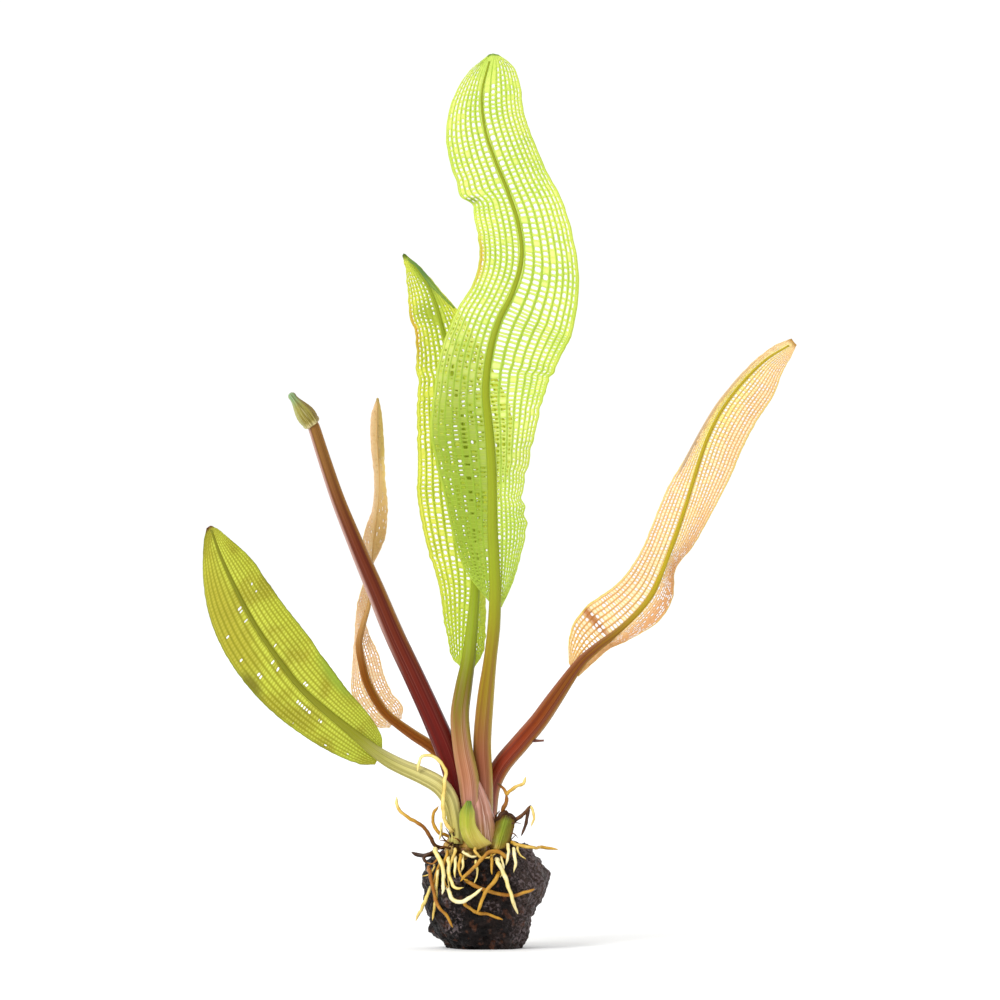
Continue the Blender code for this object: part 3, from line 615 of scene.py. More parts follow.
# %% Weave one leaf
def weave_leaf(name, node, slot, material, marks, left, right, rows, rung=3, bunch=0.1,
               rib=(1.2, 0.3), arch=0.5, ripple=0.8, veins=lambda across, up: (0.3, 0.18),
               is_open=lambda across, up, spot, chance: chance.random() < 0.9,
               films=lambda across, up: 1.0, thick=0.32, film_thick=0.5, seed=1, **shape):
    """veins, is_open and films are asked about each cell; thick is the sheet's, in mm."""
    chance = random.Random(seed)
    spots = long_veins(left, right)
    last = len(spots) - 2
    middle = len(left)
    lace_columns = {c for c in range(1, last) if c not in (middle, middle + 1)}
    blade = Blade(marks, rows, bunch, rib, arch, ripple, seed, **shape)
    bm, places = flat_grid(spots, rows)
    set_rungs(bm, places, lace_columns, rows, rung, chance)
    tones, cells, opened = open_windows(bm, spots, lace_columns, blade, veins, is_open, films,
                                        chance)
    skin = bm.verts.layers.float_vector.new("skin")
    weight = bm.verts.layers.deform.verify()
    for vert in bm.verts:
        x, j = vert.co.x, vert.co.y
        vert[skin] = (blade.across(x, j), blade.up(j), tones.get(vert, 0.5))
        vert[weight][0] = 1.0 if vert in places else film_thick
        vert.co = blade(x, j) * MM
    piece = finish_piece(name, bm, material, node)
    piece.vertex_groups.new(name="vein_thickness")
    wall = piece.modifiers.new("thickness", "SOLIDIFY")
    wall.thickness = thick * MM
    wall.offset = 0.0
    wall.vertex_group = "vein_thickness"
    print(name, cells, "cells,", opened, "of them open")
    return piece, blade


# %% [markdown]
# ## The tall leaf
# It is the plant's best leaf: about seven long veins on each side of the midrib, windows
# everywhere except near its tip, and a film over the windows low on its left half. Each row
# of marks is one line across the blade, from the stalk to the tip: the left margin, the
# midrib and the right margin as x and z, then how far back each of them lies, all in mm.

# %% Tall leaf marks
TALL_MARKS = (
    (0.3, 86.6, 1.8, 85.8, 3.4, 85.2, -2.2, -2.4, -2.2),
    (-4.0, 91.8, 1.7, 90.8, 5.8, 90.5, -1.6, -2.6, -1.4),
    (-6.9, 97.0, 1.5, 97.0, 7.9, 97.0, -1.2, -2.8, -0.6),
    (-9.1, 104.5, 1.1, 104.5, 9.6, 105.0, -2.6, -3.0, -2.4),
    (-10.9, 112.8, 1.1, 112.8, 8.7, 112.3, -3.6, -3.0, -4.4),
    (-13.1, 121.5, 0.8, 121.5, 10.0, 121.0, -2.4, -2.8, -1.2),
    (-14.5, 129.3, 0.3, 129.3, 11.9, 129.5, -3.4, -2.2, -2.6),
    (-13.8, 137.2, -0.6, 137.5, 14.0, 138.0, -3.0, -1.4, -4.0),
    (-12.0, 148.5, 0.1, 147.0, 16.2, 143.8, -1.0, -0.6, -2.0),
    (-8.0, 159.0, 2.3, 155.8, 19.6, 150.5, 1.4, 0.4, 0.8),
    (-4.2, 165.4, 5.0, 161.6, 21.2, 154.2, 1.4, 0.8, 2.6),
    (-2.3, 171.2, 7.8, 168.2, 22.7, 164.0, 0.0, 0.6, 1.0),
    (-2.4, 176.8, 8.4, 174.8, 22.2, 173.0, -1.2, 0.0, -1.6),
    (-3.5, 182.4, 7.1, 183.3, 19.2, 185.2, -0.4, -0.8, -2.6),
    (-5.7, 187.6, 4.4, 190.4, 14.7, 194.2, 0.8, -1.6, -1.0),
    (-9.0, 194.6, 1.4, 197.8, 11.6, 201.4, -0.8, -2.6, -1.6),
    (-10.4, 202.0, -0.7, 204.4, 9.4, 207.2, -3.0, -3.6, -3.2),
    (-9.8, 208.8, -1.6, 209.2, 8.7, 210.4, -4.4, -4.4, -4.4),
    (-7.6, 214.6, -1.4, 214.6, 8.1, 215.2, -5.6, -5.4, -5.6),
    (-4.6, 219.0, -0.4, 219.4, 6.3, 220.2, -6.6, -6.4, -6.6),
    (0.2, 223.0, 1.2, 223.3, 2.6, 223.0, -7.4, -7.4, -7.4),
)

# %% Tall leaf
def tall_veins(across, up):
    if across < 0 and up < 0.47:
        return 0.4, 0.32
    return (0.33, 0.26) if up > 0.78 else (0.36, 0.27)


def tall_open(across, up, spot, chance):
    if up > 0.985 or up < 0.012 or abs(across) < (up - 0.915) * 8:
        return False
    if across < 0 and up < 0.47:
        return chance.random() < (0.62 if 0.1 < up < 0.36 else 0.8)
    return chance.random() < 0.94


tall_blade, tall_surface = weave_leaf(
    "tall_leaf_blade", "tall_leaf", "leaf_green", TALL_LACE, TALL_MARKS,
    left=(7.5, 7.2, 7.0, 6.6, 6.2, 5.6, 5.0, 2.2),
    right=(12.0, 10.5, 9.5, 8.5, 7.5, 6.5, 5.5, 4.5, 3.0),
    rows=366, bunch=0.14, rib=(1.2, 0.3), veins=tall_veins, is_open=tall_open,
    films=lambda across, up: 0.0 if up > 0.93 else 0.7 if across < 0 and up < 0.47 else 0.9,
    creases=((-1, 0.748, 0.022, 1.0, 1.0), (1, 0.425, 0.014, 1.4, 0.4),
             (1, 0.245, 0.014, 1.0, 0.35), (1, 0.185, 0.012, 1.0, -0.3)),
    ragged=lambda side, up: 0.5 if side > 0 and up < 0.42 else 0.2, seed=4,
)

# %% [markdown]
# ## The second leaf
# It stands behind the tall leaf, so its lattice shows through the tall leaf's windows and
# makes that part look denser. Its left half is yellower, with an orange margin half way up.

# %% Second leaf
SECOND_MARKS = (
    (-7.0, 70.2, -5.3, 69.6, -3.4, 70.2, 1.6, 1.2, 1.6),
    (-9.2, 73.3, -4.8, 73.4, -1.1, 74.3, 3.4, 2.0, 2.8),
    (-11.2, 83.2, -3.8, 82.8, -0.6, 82.4, 5.2, 3.6, 5.2),
    (-12.4, 91.0, -3.2, 90.0, -0.6, 88.8, 6.2, 4.6, 6.8),
    (-15.3, 100.5, -3.3, 100.0, -0.5, 100.8, 7.4, 5.6, 8.4),
    (-17.6, 112.0, -4.2, 112.0, 2.8, 112.2, 6.4, 6.2, 8.2),
    (-17.6, 121.6, -5.5, 122.0, 5.8, 121.5, 7.4, 6.6, 6.8),
    (-17.8, 132.5, -7.1, 133.2, 5.8, 134.0, 6.4, 6.6, 6.4),
    (-17.7, 141.8, -8.8, 143.2, 1.5, 144.0, 7.2, 6.4, 6.8),
    (-18.1, 150.8, -10.7, 152.0, -3.2, 152.0, 5.8, 5.8, 7.0),
    (-19.4, 158.0, -12.5, 159.0, -7.5, 159.3, 4.6, 5.0, 6.6),
    (-20.1, 164.0, -14.6, 165.0, -12.0, 164.6, 3.6, 4.0, 5.4),
    (-20.6, 169.5, -18.0, 170.0, -16.6, 169.9, 2.6, 2.8, 3.6),
    (-21.4, 173.2, -21.1, 173.7, -20.6, 173.4, 1.6, 1.7, 1.8),
)


def second_open(across, up, spot, chance):
    if up > 0.95 or up < 0.03 or across > (0.9 - up) * 12 or (across > 0 and up > 0.86):
        return False
    return chance.random() < (0.7 if across > 0 else 0.9)


second_blade, second_surface = weave_leaf(
    "second_leaf_blade", "second_leaf", "leaf_green", SECOND_LACE, SECOND_MARKS,
    left=(7.0, 6.6, 6.2, 5.6, 5.0, 4.4, 2.4), right=(7.0, 6.6, 6.2, 5.6, 5.0, 4.4, 2.4),
    rows=279, bunch=0.0, rib=(1.2, 0.3), veins=lambda across, up: (0.38, 0.28),
    is_open=second_open, films=lambda across, up: 0.0 if up > 0.85 else 0.7,
    creases=((-1, 0.82, 0.03, 1.2, 0.3), (-1, 0.7, 0.02, 0.8, 0.4)),
    ragged=lambda side, up: 0.4, seed=9,
)

# %% [markdown]
# ## The right leaf
# It is dying back, so its tissue has turned peach, with a yellow-green part left beside the
# midrib. Its cells are smaller, about ten rows to the centimetre, and many keep a cream film.

# %% Right leaf
RIGHT_MARKS = (
    (20.2, 71.2, 21.2, 69.2, 22.6, 67.8, 2.4, 3.0, 2.6),
    (20.3, 77.8, 24.8, 73.0, 26.6, 71.4, 0.6, 2.6, 4.2),
    (22.6, 83.3, 28.8, 76.4, 30.3, 74.6, 0.2, 2.2, 3.6),
    (27.4, 87.4, 33.6, 80.0, 36.0, 77.4, 3.2, 1.8, 0.2),
    (31.4, 90.3, 38.7, 85.2, 42.8, 81.8, 2.2, 1.4, -0.6),
    (35.0, 94.1, 41.8, 90.0, 46.2, 87.6, -0.2, 1.0, 1.8),
    (38.4, 99.6, 44.6, 97.0, 47.0, 94.8, -0.6, 0.6, 3.2),
    (40.9, 105.3, 46.8, 102.8, 51.4, 100.6, 1.4, 0.2, 1.4),
    (44.7, 114.5, 50.0, 112.3, 56.6, 110.0, 1.8, -0.6, -1.6),
    (49.0, 122.0, 52.5, 120.8, 60.8, 118.2, 0.4, -1.6, -1.2),
    (53.2, 129.5, 55.1, 128.2, 63.6, 125.0, -0.6, -2.8, -2.6),
    (57.2, 136.0, 59.0, 135.6, 67.3, 132.0, -2.2, -4.2, -4.4),
    (62.2, 142.4, 64.1, 142.0, 71.1, 137.8, -4.2, -5.8, -5.2),
    (67.2, 147.4, 68.5, 146.4, 73.5, 144.0, -6.2, -7.4, -6.8),
    (71.8, 150.7, 72.8, 149.3, 75.4, 147.4, -8.0, -8.8, -8.4),
    (75.6, 152.2, 76.3, 151.2, 76.9, 150.6, -9.6, -9.8, -9.7),
)


def right_open(across, up, spot, chance):
    if across < 0:
        share = 0.45 if up < 0.28 else 0.62
    else:
        share = 0.5 if up < 0.4 else 0.75 - 0.5 * across
    return 0.015 < up < 0.965 and chance.random() < share


right_blade, right_surface = weave_leaf(
    "right_leaf_blade", "right_leaf", "leaf_peach", RIGHT_LACE, RIGHT_MARKS,
    left=(5.0, 4.8, 4.6, 4.4, 4.2, 4.0, 1.6),
    right=(4.8, 4.7, 4.6, 4.5, 4.4, 4.3, 4.2, 4.0, 3.8, 1.6),
    rows=345, bunch=0.0, rib=(0.8, 0.3), arch=0.4, ripple=0.5, thick=0.2,
    veins=lambda across, up: (0.1, 0.1) if across > 0 and up < 0.4 else (0.22, 0.15),
    is_open=right_open, films=lambda across, up: 0.0 if up > 0.96 else 0.95,
    creases=((-1, 0.12, 0.022, 0.9, 0.2),), ragged=lambda side, up: 0.15, seed=12,
)

# %% [markdown]
# ## The left leaf
# Its windows never opened, apart from some two dozen small holes. So nearly every cell keeps
# its tissue, and what shows is the fine ribbing of the veins. Each hole is named by its x and
# z in mm, and the cell that lies there is opened.

# %% Left leaf
LEFT_MARKS = (
    (-28.2, 46.0, -27.0, 48.4, -26.4, 50.4, -6.6, -6.8, -6.6),
    (-32.0, 46.2, -29.4, 50.4, -26.7, 53.6, -7.2, -7.4, -7.4),
    (-38.0, 48.6, -34.0, 54.2, -29.8, 58.6, -7.6, -8.6, -8.6),
    (-45.0, 52.6, -40.6, 59.6, -35.2, 65.0, -8.2, -9.6, -9.8),
    (-52.0, 57.8, -47.0, 65.6, -40.4, 72.2, -9.4, -10.4, -10.8),
    (-58.6, 64.2, -52.3, 72.5, -46.0, 79.8, -10.6, -11.0, -11.8),
    (-64.6, 72.4, -57.4, 79.9, -51.4, 86.8, -11.6, -11.6, -12.4),
    (-68.4, 80.4, -61.2, 86.8, -55.8, 93.2, -12.2, -12.4, -13.2),
    (-70.3, 88.0, -64.4, 93.4, -60.0, 98.6, -12.8, -13.2, -13.8),
    (-70.9, 95.6, -66.8, 99.0, -64.0, 102.2, -13.6, -14.0, -14.4),
    (-70.6, 101.4, -68.3, 103.4, -66.8, 104.6, -14.4, -14.6, -14.8),
    (-69.8, 105.0, -69.1, 105.6, -68.5, 105.5, -15.0, -15.0, -15.0),
)
LEFT_HOLES = (
    (-59.0, 91.0), (-57.8, 89.5), (-61.8, 84.5), (-60.5, 81.8), (-64.5, 78.2), (-62.5, 74.8),
    (-61.2, 72.5), (-58.0, 73.8), (-53.2, 75.5), (-56.8, 68.2), (-53.8, 71.8), (-52.2, 70.2),
    (-54.8, 62.8), (-45.2, 66.2), (-43.2, 65.0), (-48.5, 56.5), (-37.0, 57.8), (-40.0, 51.0),
    (-35.0, 48.5), (-48.0, 61.8), (-47.4, 61.3), (-46.7, 60.9), (-46.1, 60.4), (-45.4, 60.0),
    (-44.8, 59.5), (-42.0, 57.3), (-41.4, 56.7),
)


def left_open(across, up, spot, chance):
    return any(math.hypot(spot.x - x, spot.z - z) < 0.5 for x, z in LEFT_HOLES)


left_blade, left_surface = weave_leaf(
    "left_leaf_blade", "left_leaf", "leaf_left", LEFT_LACE, LEFT_MARKS,
    left=(6.0, 5.8, 5.6, 5.4, 5.0, 4.4, 2.4), right=(6.0, 5.6, 5.2, 4.8, 4.6, 4.2, 3.8, 2.2),
    rows=282, bunch=0.0, rib=(1.2, 0.3), veins=lambda across, up: (0.26, 0.15), arch=0.5,
    is_open=left_open, films=lambda across, up: 0.5, film_thick=0.9,
    creases=((1, 0.74, 0.04, 0.8, 0.15), (1, 0.42, 0.04, 0.8, 0.12)),
    ragged=lambda side, up: 0.12, seed=21,
)

# %% [markdown]
# ## The twisted leaf
# A narrow, withered leaf behind the flower stalk. It turns over twice, so that its marks
# change sides, and only tiny glints of its windows are left.

# %% Twisted leaf
TWISTED_MARKS = (
    (-24.8, 54.8, -23.6, 56.3, -21.6, 57.2, 7.6, 7.0, 7.6),
    (-28.0, 55.2, -25.6, 58.6, -21.5, 60.4, 8.2, 6.8, 8.4),
    (-31.4, 58.4, -27.7, 61.2, -24.0, 63.4, 8.6, 6.8, 8.8),
    (-34.2, 63.4, -30.0, 65.4, -26.0, 67.8, 9.0, 7.0, 9.2),
    (-34.1, 69.6, -31.6, 70.8, -27.6, 73.6, 9.2, 7.4, 10.2),
    (-33.6, 76.6, -32.3, 77.0, -30.2, 79.2, 8.4, 8.0, 11.4),
    (-32.8, 85.6, -29.9, 86.0, -31.6, 86.6, 6.6, 8.6, 12.6),
    (-30.9, 93.4, -29.4, 93.6, -29.6, 94.2, 5.8, 8.8, 12.6),
    (-31.3, 102.4, -28.6, 102.2, -25.9, 102.4, 7.2, 9.2, 10.0),
    (-29.0, 110.2, -27.6, 110.4, -25.2, 110.8, 12.2, 9.4, 8.0),
    (-28.6, 117.4, -27.2, 117.2, -25.8, 117.2, 12.4, 9.2, 8.0),
    (-29.4, 125.6, -27.8, 125.4, -26.1, 125.6, 11.4, 8.8, 10.8),
    (-29.4, 132.6, -27.9, 132.8, -26.6, 132.6, 10.4, 8.6, 10.2),
    (-28.0, 137.4, -27.7, 137.7, -27.4, 137.4, 9.0, 8.8, 9.0),
)

twisted_blade, twisted_surface = weave_leaf(
    "twisted_leaf_blade", "twisted_leaf", "leaf_peach", TWISTED_LACE, TWISTED_MARKS,
    left=(1.0, 1.0, 1.0, 0.9, 0.9, 0.8, 0.4), right=(1.0, 1.0, 1.0, 0.9, 0.9, 0.8, 0.4),
    rows=291, bunch=0.0, rib=(0.7, 0.15), arch=0.0, ripple=0.4, thick=0.2,
    veins=lambda across, up: (0.15, 0.12),
    is_open=lambda across, up, spot, chance: chance.random() < (0.5 if up < 0.3 else 0.16),
    films=lambda across, up: 0.9, ragged=lambda side, up: 0.25, seed=31,
)

# %% [markdown]
# ## Finish of the stalks
# The stalks are smooth and ribbed lengthwise, pink or red low down and green or olive higher
# up. Each side can take a colour of its own. On most pieces the left side, towards the light,
# gets a painted highlight and the right side gets a painted edge light. On a few, such as the
# right bract, these are tints of the piece's own. The pale fibres are partly the stalk's own
# fibres and partly painted highlight streaks. Their attribute skin holds the direction round
# the stalk as two numbers, which has no seam, and the share of the length.

# %% Stalk tint group
stalk_tint, given, result = group_of(
    "stalk_tint",
    ("Foot", "Low", "High", "Top", "Stripe", "Fibre And Sheen", "Left Tint And Highlight", "Right Tint And Edge Light"),
    {"Low At": 0.1, "High At": 0.3, "Top At": 0.6, "Stripe Amount": 0.5, "Fibre And Sheen Amount": 0.4,
     "Side Amount": 0.5, "Sides From": -1.0, "Sides To": 3.0},
)
skin = add(stalk_tint, "Attribute", attribute_name="skin")
parts = add(stalk_tint, "SeparateXYZ")
stalk_tint.links.new(skin.outputs["Vector"], parts.inputs["Vector"])
round_x, round_y, along = parts.outputs
colour, reached = given.outputs["Foot"], 0.0
for label in ("Low", "High", "Top"):
    here = ease(stalk_tint, along, reached, given.outputs[label + " At"])
    colour = blend(stalk_tint, here, colour, given.outputs[label])
    reached = given.outputs[label + " At"]
ribs = speckle(stalk_tint, 3.4, 3.0, skin.outputs["Vector"], (1.0, 1.0, 0.3))
threads = speckle(stalk_tint, 15.0, 2.0, skin.outputs["Vector"], (1.0, 1.0, 0.1))
started = ease(stalk_tint, sums(stalk_tint, "SUBTRACT", along, given.outputs["Sides From"]),
               0.0, 0.2)
ended = ease(stalk_tint, sums(stalk_tint, "SUBTRACT", along, given.outputs["Sides To"]), 0.0, 0.12)
calm = sums(stalk_tint, "SUBTRACT", 1.0, sums(stalk_tint, "MULTIPLY", ended, 0.85))
# The pale fibre streaks are partly the stalk's own fibres and partly painted highlight streaks.
for value, low, high, label in ((ribs, 0.46, 0.6, "Stripe"), (threads, 0.52, 0.72, "Fibre And Sheen")):
    amount = sums(stalk_tint, "MULTIPLY", ease(stalk_tint, value, low, high),
                  given.outputs[label + " Amount"])
    amount = sums(stalk_tint, "MULTIPLY", amount, calm)
    colour = blend(stalk_tint, amount, colour, given.outputs[label])
sides = sums(stalk_tint, "MULTIPLY", sums(stalk_tint, "SUBTRACT", started, ended, True),
             given.outputs["Side Amount"])
# Painted light: the side facing left, towards the light, takes a painted highlight and the side
# facing right takes a painted edge light; on a few pieces these two colours are tints of their own.
for turn, label in ((-1.0, "Left Tint And Highlight"), (1.0, "Right Tint And Edge Light")):
    facing = ease(stalk_tint, sums(stalk_tint, "MULTIPLY", round_x, turn), 0.5, 0.95)
    colour = blend(stalk_tint, sums(stalk_tint, "MULTIPLY", facing, sides), colour,
                   given.outputs[label])
stalk_tint.links.new(colour, result.inputs["Colour"])
grain = speckle(stalk_tint, 900.0, 2.0)
feed(stalk_tint, result.inputs["Roughness"],
     sums(stalk_tint, "ADD", sums(stalk_tint, "MULTIPLY", grain, 0.2), 0.22))
feed(stalk_tint, result.inputs["Height"],
     sums(stalk_tint, "ADD", sums(stalk_tint, "MULTIPLY", threads, 0.5), ribs))


# %% Make a stalk's material
def stalk_material(name, foot, low, high, top, stripe, fibre_and_sheen, left_side, right_side,
                   stops=(0.1, 0.3, 0.6), amounts=(0.5, 0.4, 0.5), sides=(-1.0, 3.0),
                   gloss=0.12):
    """stops say where low, high and top are reached, amounts are stripe, fibre-and-sheen and sides,
    and sides is the stretch of the stalk whose left and right have their own colours: on most
    stalks a painted highlight on the left and a painted edge light on the right."""
    made, nodes, links, shader = new_material(name)
    tint = nodes.new("ShaderNodeGroup")
    tint.node_tree = stalk_tint
    colours = (foot, low, high, top, stripe, fibre_and_sheen, left_side, right_side)
    for socket, value in zip(tint.inputs, colours):
        socket.default_value = tone(*value)
    numbers = ("Low At", "High At", "Top At", "Stripe Amount", "Fibre And Sheen Amount", "Side Amount",
               "Sides From", "Sides To")
    for label, value in zip(numbers, (*stops, *amounts, *sides)):
        tint.inputs[label].default_value = value
    bump = nodes.new("ShaderNodeBump")
    bump.inputs["Strength"].default_value = 0.3
    bump.inputs["Distance"].default_value = 0.0004
    links.new(tint.outputs["Height"], bump.inputs["Height"])
    links.new(bump.outputs["Normal"], shader.inputs["Normal"])
    links.new(tint.outputs["Colour"], shader.inputs["Base Color"])
    links.new(tint.outputs["Roughness"], shader.inputs["Roughness"])
    shader.inputs["Specular IOR Level"].default_value = gloss
    return made


# %% [markdown]
# ## Stalks and midribs
# A stalk runs on up its blade as the midrib, so both are one rod. It could be a curve with a
# bevel, but then it would be quite round. Here a flat grid is rolled into a tube, its seam
# welded and its ends filled, and shallow ribs are pushed in while it is rolled.

# %% Roll a rod
def rolled_rod(centres, radii, sides, ribs=0, rib_depth=0.0, flat=None, phase=0.0, lump=0.0):
    """A tube through the centres in mm. flat gives its depth as a share of its width."""
    count = len(centres) - 1
    bm = bmesh.new()
    bmesh.ops.create_grid(bm, x_segments=sides, y_segments=count, size=1.0)
    skin = bm.verts.layers.float_vector.new("skin")
    reach = [0.0]
    for a, b in zip(centres, centres[1:]):
        reach.append(reach[-1] + (b - a).length)
    front = Vector((0.0, -1.0, 0.0))
    for vert in bm.verts:
        angle = (vert.co.x + 1) * math.pi
        j = round((vert.co.y + 1) / 2 * count)
        ahead = (centres[min(j + 1, count)] - centres[max(j - 1, 0)]).normalized()
        side = ahead.cross(front)
        side = side.normalized() if side.length > 0.05 else Vector((1.0, 0.0, 0.0))
        depth = side.cross(ahead).normalized()
        radius = radii[j] * (1.0 + rib_depth * math.cos(ribs * angle + phase))
        if lump:
            radius *= 1.0 + lump * noise.noise(centres[j] * 0.9 + side * math.cos(angle))
        thick = flat[j] if flat else 1.0
        out = side * math.cos(angle) + depth * math.sin(angle) * thick
        vert[skin] = (math.cos(angle), math.sin(angle), reach[j] / reach[-1])
        vert.co = (centres[j] + out * radius) * MM
    bmesh.ops.remove_doubles(bm, verts=bm.verts, dist=1e-7)
    ends = [e for e in bm.edges if e.is_boundary]
    bmesh.ops.holes_fill(bm, edges=ends, sides=0)
    return bm


def route(marks, step):
    """Centres and radii along marks of x, y, z and radius, about step mm apart."""
    points = [Vector(m) for m in marks]
    count = max(4, round(sum((b - a).length for a, b in zip(points, points[1:])) / step))
    spots = [smooth_point(points, at) for at in even_places(points, count)]
    return [Vector(s[:3]) for s in spots], [max(0.05, s[3]) for s in spots]


# %% Stalk with midrib
def grow_stalk(name, node, material, marks, surface, rib_marks, ribs=9, rib_depth=0.05,
               rib_front=0.25, start=0.02, flare=0.3):
    """The stalk up to its blade, then the midrib, thinning to the blade's tip.

    Its foot widens by flare and goes on down into the crown."""
    x, y, z, radius = marks[0]
    last = len(rib_marks) - 1
    climb = [(x, y, z - 2.6, radius)] + list(marks)
    for i in range(17):
        up = start + (0.985 - start) * i / 16
        j = min(range(surface.rows), key=lambda k: abs(surface.up(k) - up))
        spot = surface.line(j)[1]
        place = up * last
        k = min(int(place), last - 1)
        radius = rib_marks[k] + (rib_marks[k + 1] - rib_marks[k]) * (place - k)
        climb.append((spot.x, spot.y - radius * rib_front, spot.z, radius))
    centres, radii = route(climb, 1.4)
    blade_foot = Vector(marks[-1][:3])
    before = (centres[0] - blade_foot).length
    flat = []
    for k, centre in enumerate(centres):
        radii[k] *= 1.0 + flare * max(0.0, min(1.0, (z + 5.0 - centre.z) / 7.0))
        past = (centre - centres[0]).length > before
        on_blade = min(1.0, (centre - blade_foot).length / 12.0) if past else 0.0
        flat.append(1.0 - 0.35 * on_blade)
    bm = rolled_rod(centres, radii, 28, ribs, rib_depth, flat)
    return finish_piece(name, bm, material, node)


TALL_STALK_SKIN = stalk_material(
    "tall_stalk_skin", (190, 136, 122), (148, 86, 60), (148, 124, 30), (146, 160, 36),
    (116, 66, 28), (200, 150, 112), (176, 132, 64), (188, 168, 60),
    (0.1, 0.2, 0.36), (0.5, 0.35, 0.6), (-1.0, 0.17),
)
SECOND_STALK_SKIN = stalk_material(
    "second_stalk_skin", (212, 156, 150), (178, 120, 88), (118, 110, 20), (142, 160, 36),
    (134, 80, 46), (226, 186, 164), (186, 140, 96), (164, 156, 50),
    (0.12, 0.24, 0.36), (0.55, 0.45, 0.6), (-1.0, 0.18),
)
RIGHT_STALK_SKIN = stalk_material(
    "right_stalk_skin", (222, 162, 160), (142, 50, 24), (124, 72, 12), (182, 160, 34),
    (92, 28, 10), (200, 140, 116), (158, 104, 78), (160, 118, 30),
    (0.13, 0.34, 0.56), (0.6, 0.3, 0.65), (-1.0, 0.36),
)
LEFT_STALK_SKIN = stalk_material(
    "left_stalk_skin", (206, 194, 106), (214, 204, 130), (134, 136, 30), (124, 126, 24),
    (128, 118, 48), (232, 224, 170), (166, 156, 62), (226, 220, 154),
    (0.18, 0.4, 0.6), (0.6, 0.5, 0.4), (-1.0, 0.26),
)
TWISTED_STALK_SKIN = stalk_material(
    "twisted_stalk_skin", (122, 46, 30), (134, 70, 14), (134, 74, 10), (204, 162, 102),
    (96, 42, 6), (190, 136, 70), (170, 112, 50), (190, 148, 60),
    (0.15, 0.42, 0.62), (0.5, 0.4, 0.5), (-1.0, 0.4),
)

# %% The five stalks
TALL_STALK = (
    (-0.9, 0.9, 28.8, 1.9),
    (-1.0, 0.9, 34.0, 2.2),
    (-1.1, 0.8, 42.0, 2.25),
    (-1.5, 0.4, 51.0, 2.25),
    (-0.7, -0.6, 62.0, 2.1),
    (0.5, -1.6, 72.0, 1.65),
    (1.4, -2.2, 80.0, 1.6),
)
SECOND_STALK = (
    (-4.3, -2.7, 28.8, 1.8),
    (-4.4, -2.8, 35.0, 2.2),
    (-4.9, -2.8, 42.0, 2.55),
    (-6.4, -2.2, 50.0, 2.4),
    (-7.1, -1.2, 58.0, 2.3),
    (-6.2, 0.2, 65.0, 2.1),
)
RIGHT_STALK = (
    (0.0, 5.7, 28.8, 1.6),
    (0.3, 5.7, 34.0, 1.9),
    (0.9, 5.6, 40.0, 2.1),
    (3.2, 5.4, 45.4, 2.3),
    (8.2, 5.0, 51.4, 2.3),
    (12.6, 4.4, 56.6, 2.2),
    (16.4, 3.8, 62.0, 2.0),
)
LEFT_STALK = (
    (-7.9, -3.5, 28.8, 1.5),
    (-8.5, -3.8, 33.0, 1.8),
    (-9.6, -4.2, 37.2, 2.1),
    (-12.0, -4.7, 40.6, 2.2),
    (-16.0, -5.4, 43.0, 2.1),
    (-21.0, -6.1, 45.2, 1.9),
    (-24.6, -6.6, 47.0, 1.8),
)
TWISTED_STALK = (
    (-4.4, 5.9, 28.8, 1.3),
    (-5.0, 6.2, 36.0, 1.4),
    (-8.0, 6.8, 44.0, 1.4),
    (-13.6, 7.0, 49.6, 1.4),
    (-19.2, 7.0, 53.4, 1.3),
)

grow_stalk("tall_leaf_stalk", "tall_leaf", TALL_STALK_SKIN, TALL_STALK,
           tall_surface, (1.5, 1.25, 1.1, 0.8, 0.55, 0.45, 0.32, 0.2), rib_depth=0.03)
grow_stalk("second_leaf_stalk", "second_leaf", SECOND_STALK_SKIN, SECOND_STALK,
           second_surface, (1.8, 1.1, 0.9, 0.7, 0.5, 0.4, 0.25))
grow_stalk("right_leaf_stalk", "right_leaf", RIGHT_STALK_SKIN, RIGHT_STALK,
           right_surface, (1.45, 0.75, 0.55, 0.45, 0.4, 0.32, 0.2))
grow_stalk("left_leaf_stalk", "left_leaf", LEFT_STALK_SKIN, LEFT_STALK,
           left_surface, (1.6, 0.95, 0.75, 0.62, 0.5, 0.4, 0.25), rib_front=0.6)
grow_stalk("twisted_leaf_stalk", "twisted_leaf", TWISTED_STALK_SKIN,
           TWISTED_STALK, twisted_surface, (1.1, 1.0, 0.7, 0.3, 0.15, 0.12, 0.1))

# %% [markdown]
# ## Rolled margins
# Two leaves have a stretch of margin that is rolled over to the front: the second leaf beside
# its tip, and the right leaf along its upper left side. A roll is a slim flattened rod that
# thickens in the middle and lies on the margin. The right leaf's stalk also has a dry spur.

# %% Rolled margins and spur
def grow_slim(name, node, material, marks, flat=1.0, lump=0.0, step=0.7):
    """A slim rod through marks of x, y, z and radius."""
    centres, radii = route(marks, step)
    bm = rolled_rod(centres, radii, 14, flat=[flat] * len(centres), lump=lump)
    return finish_piece(name, bm, material, node)


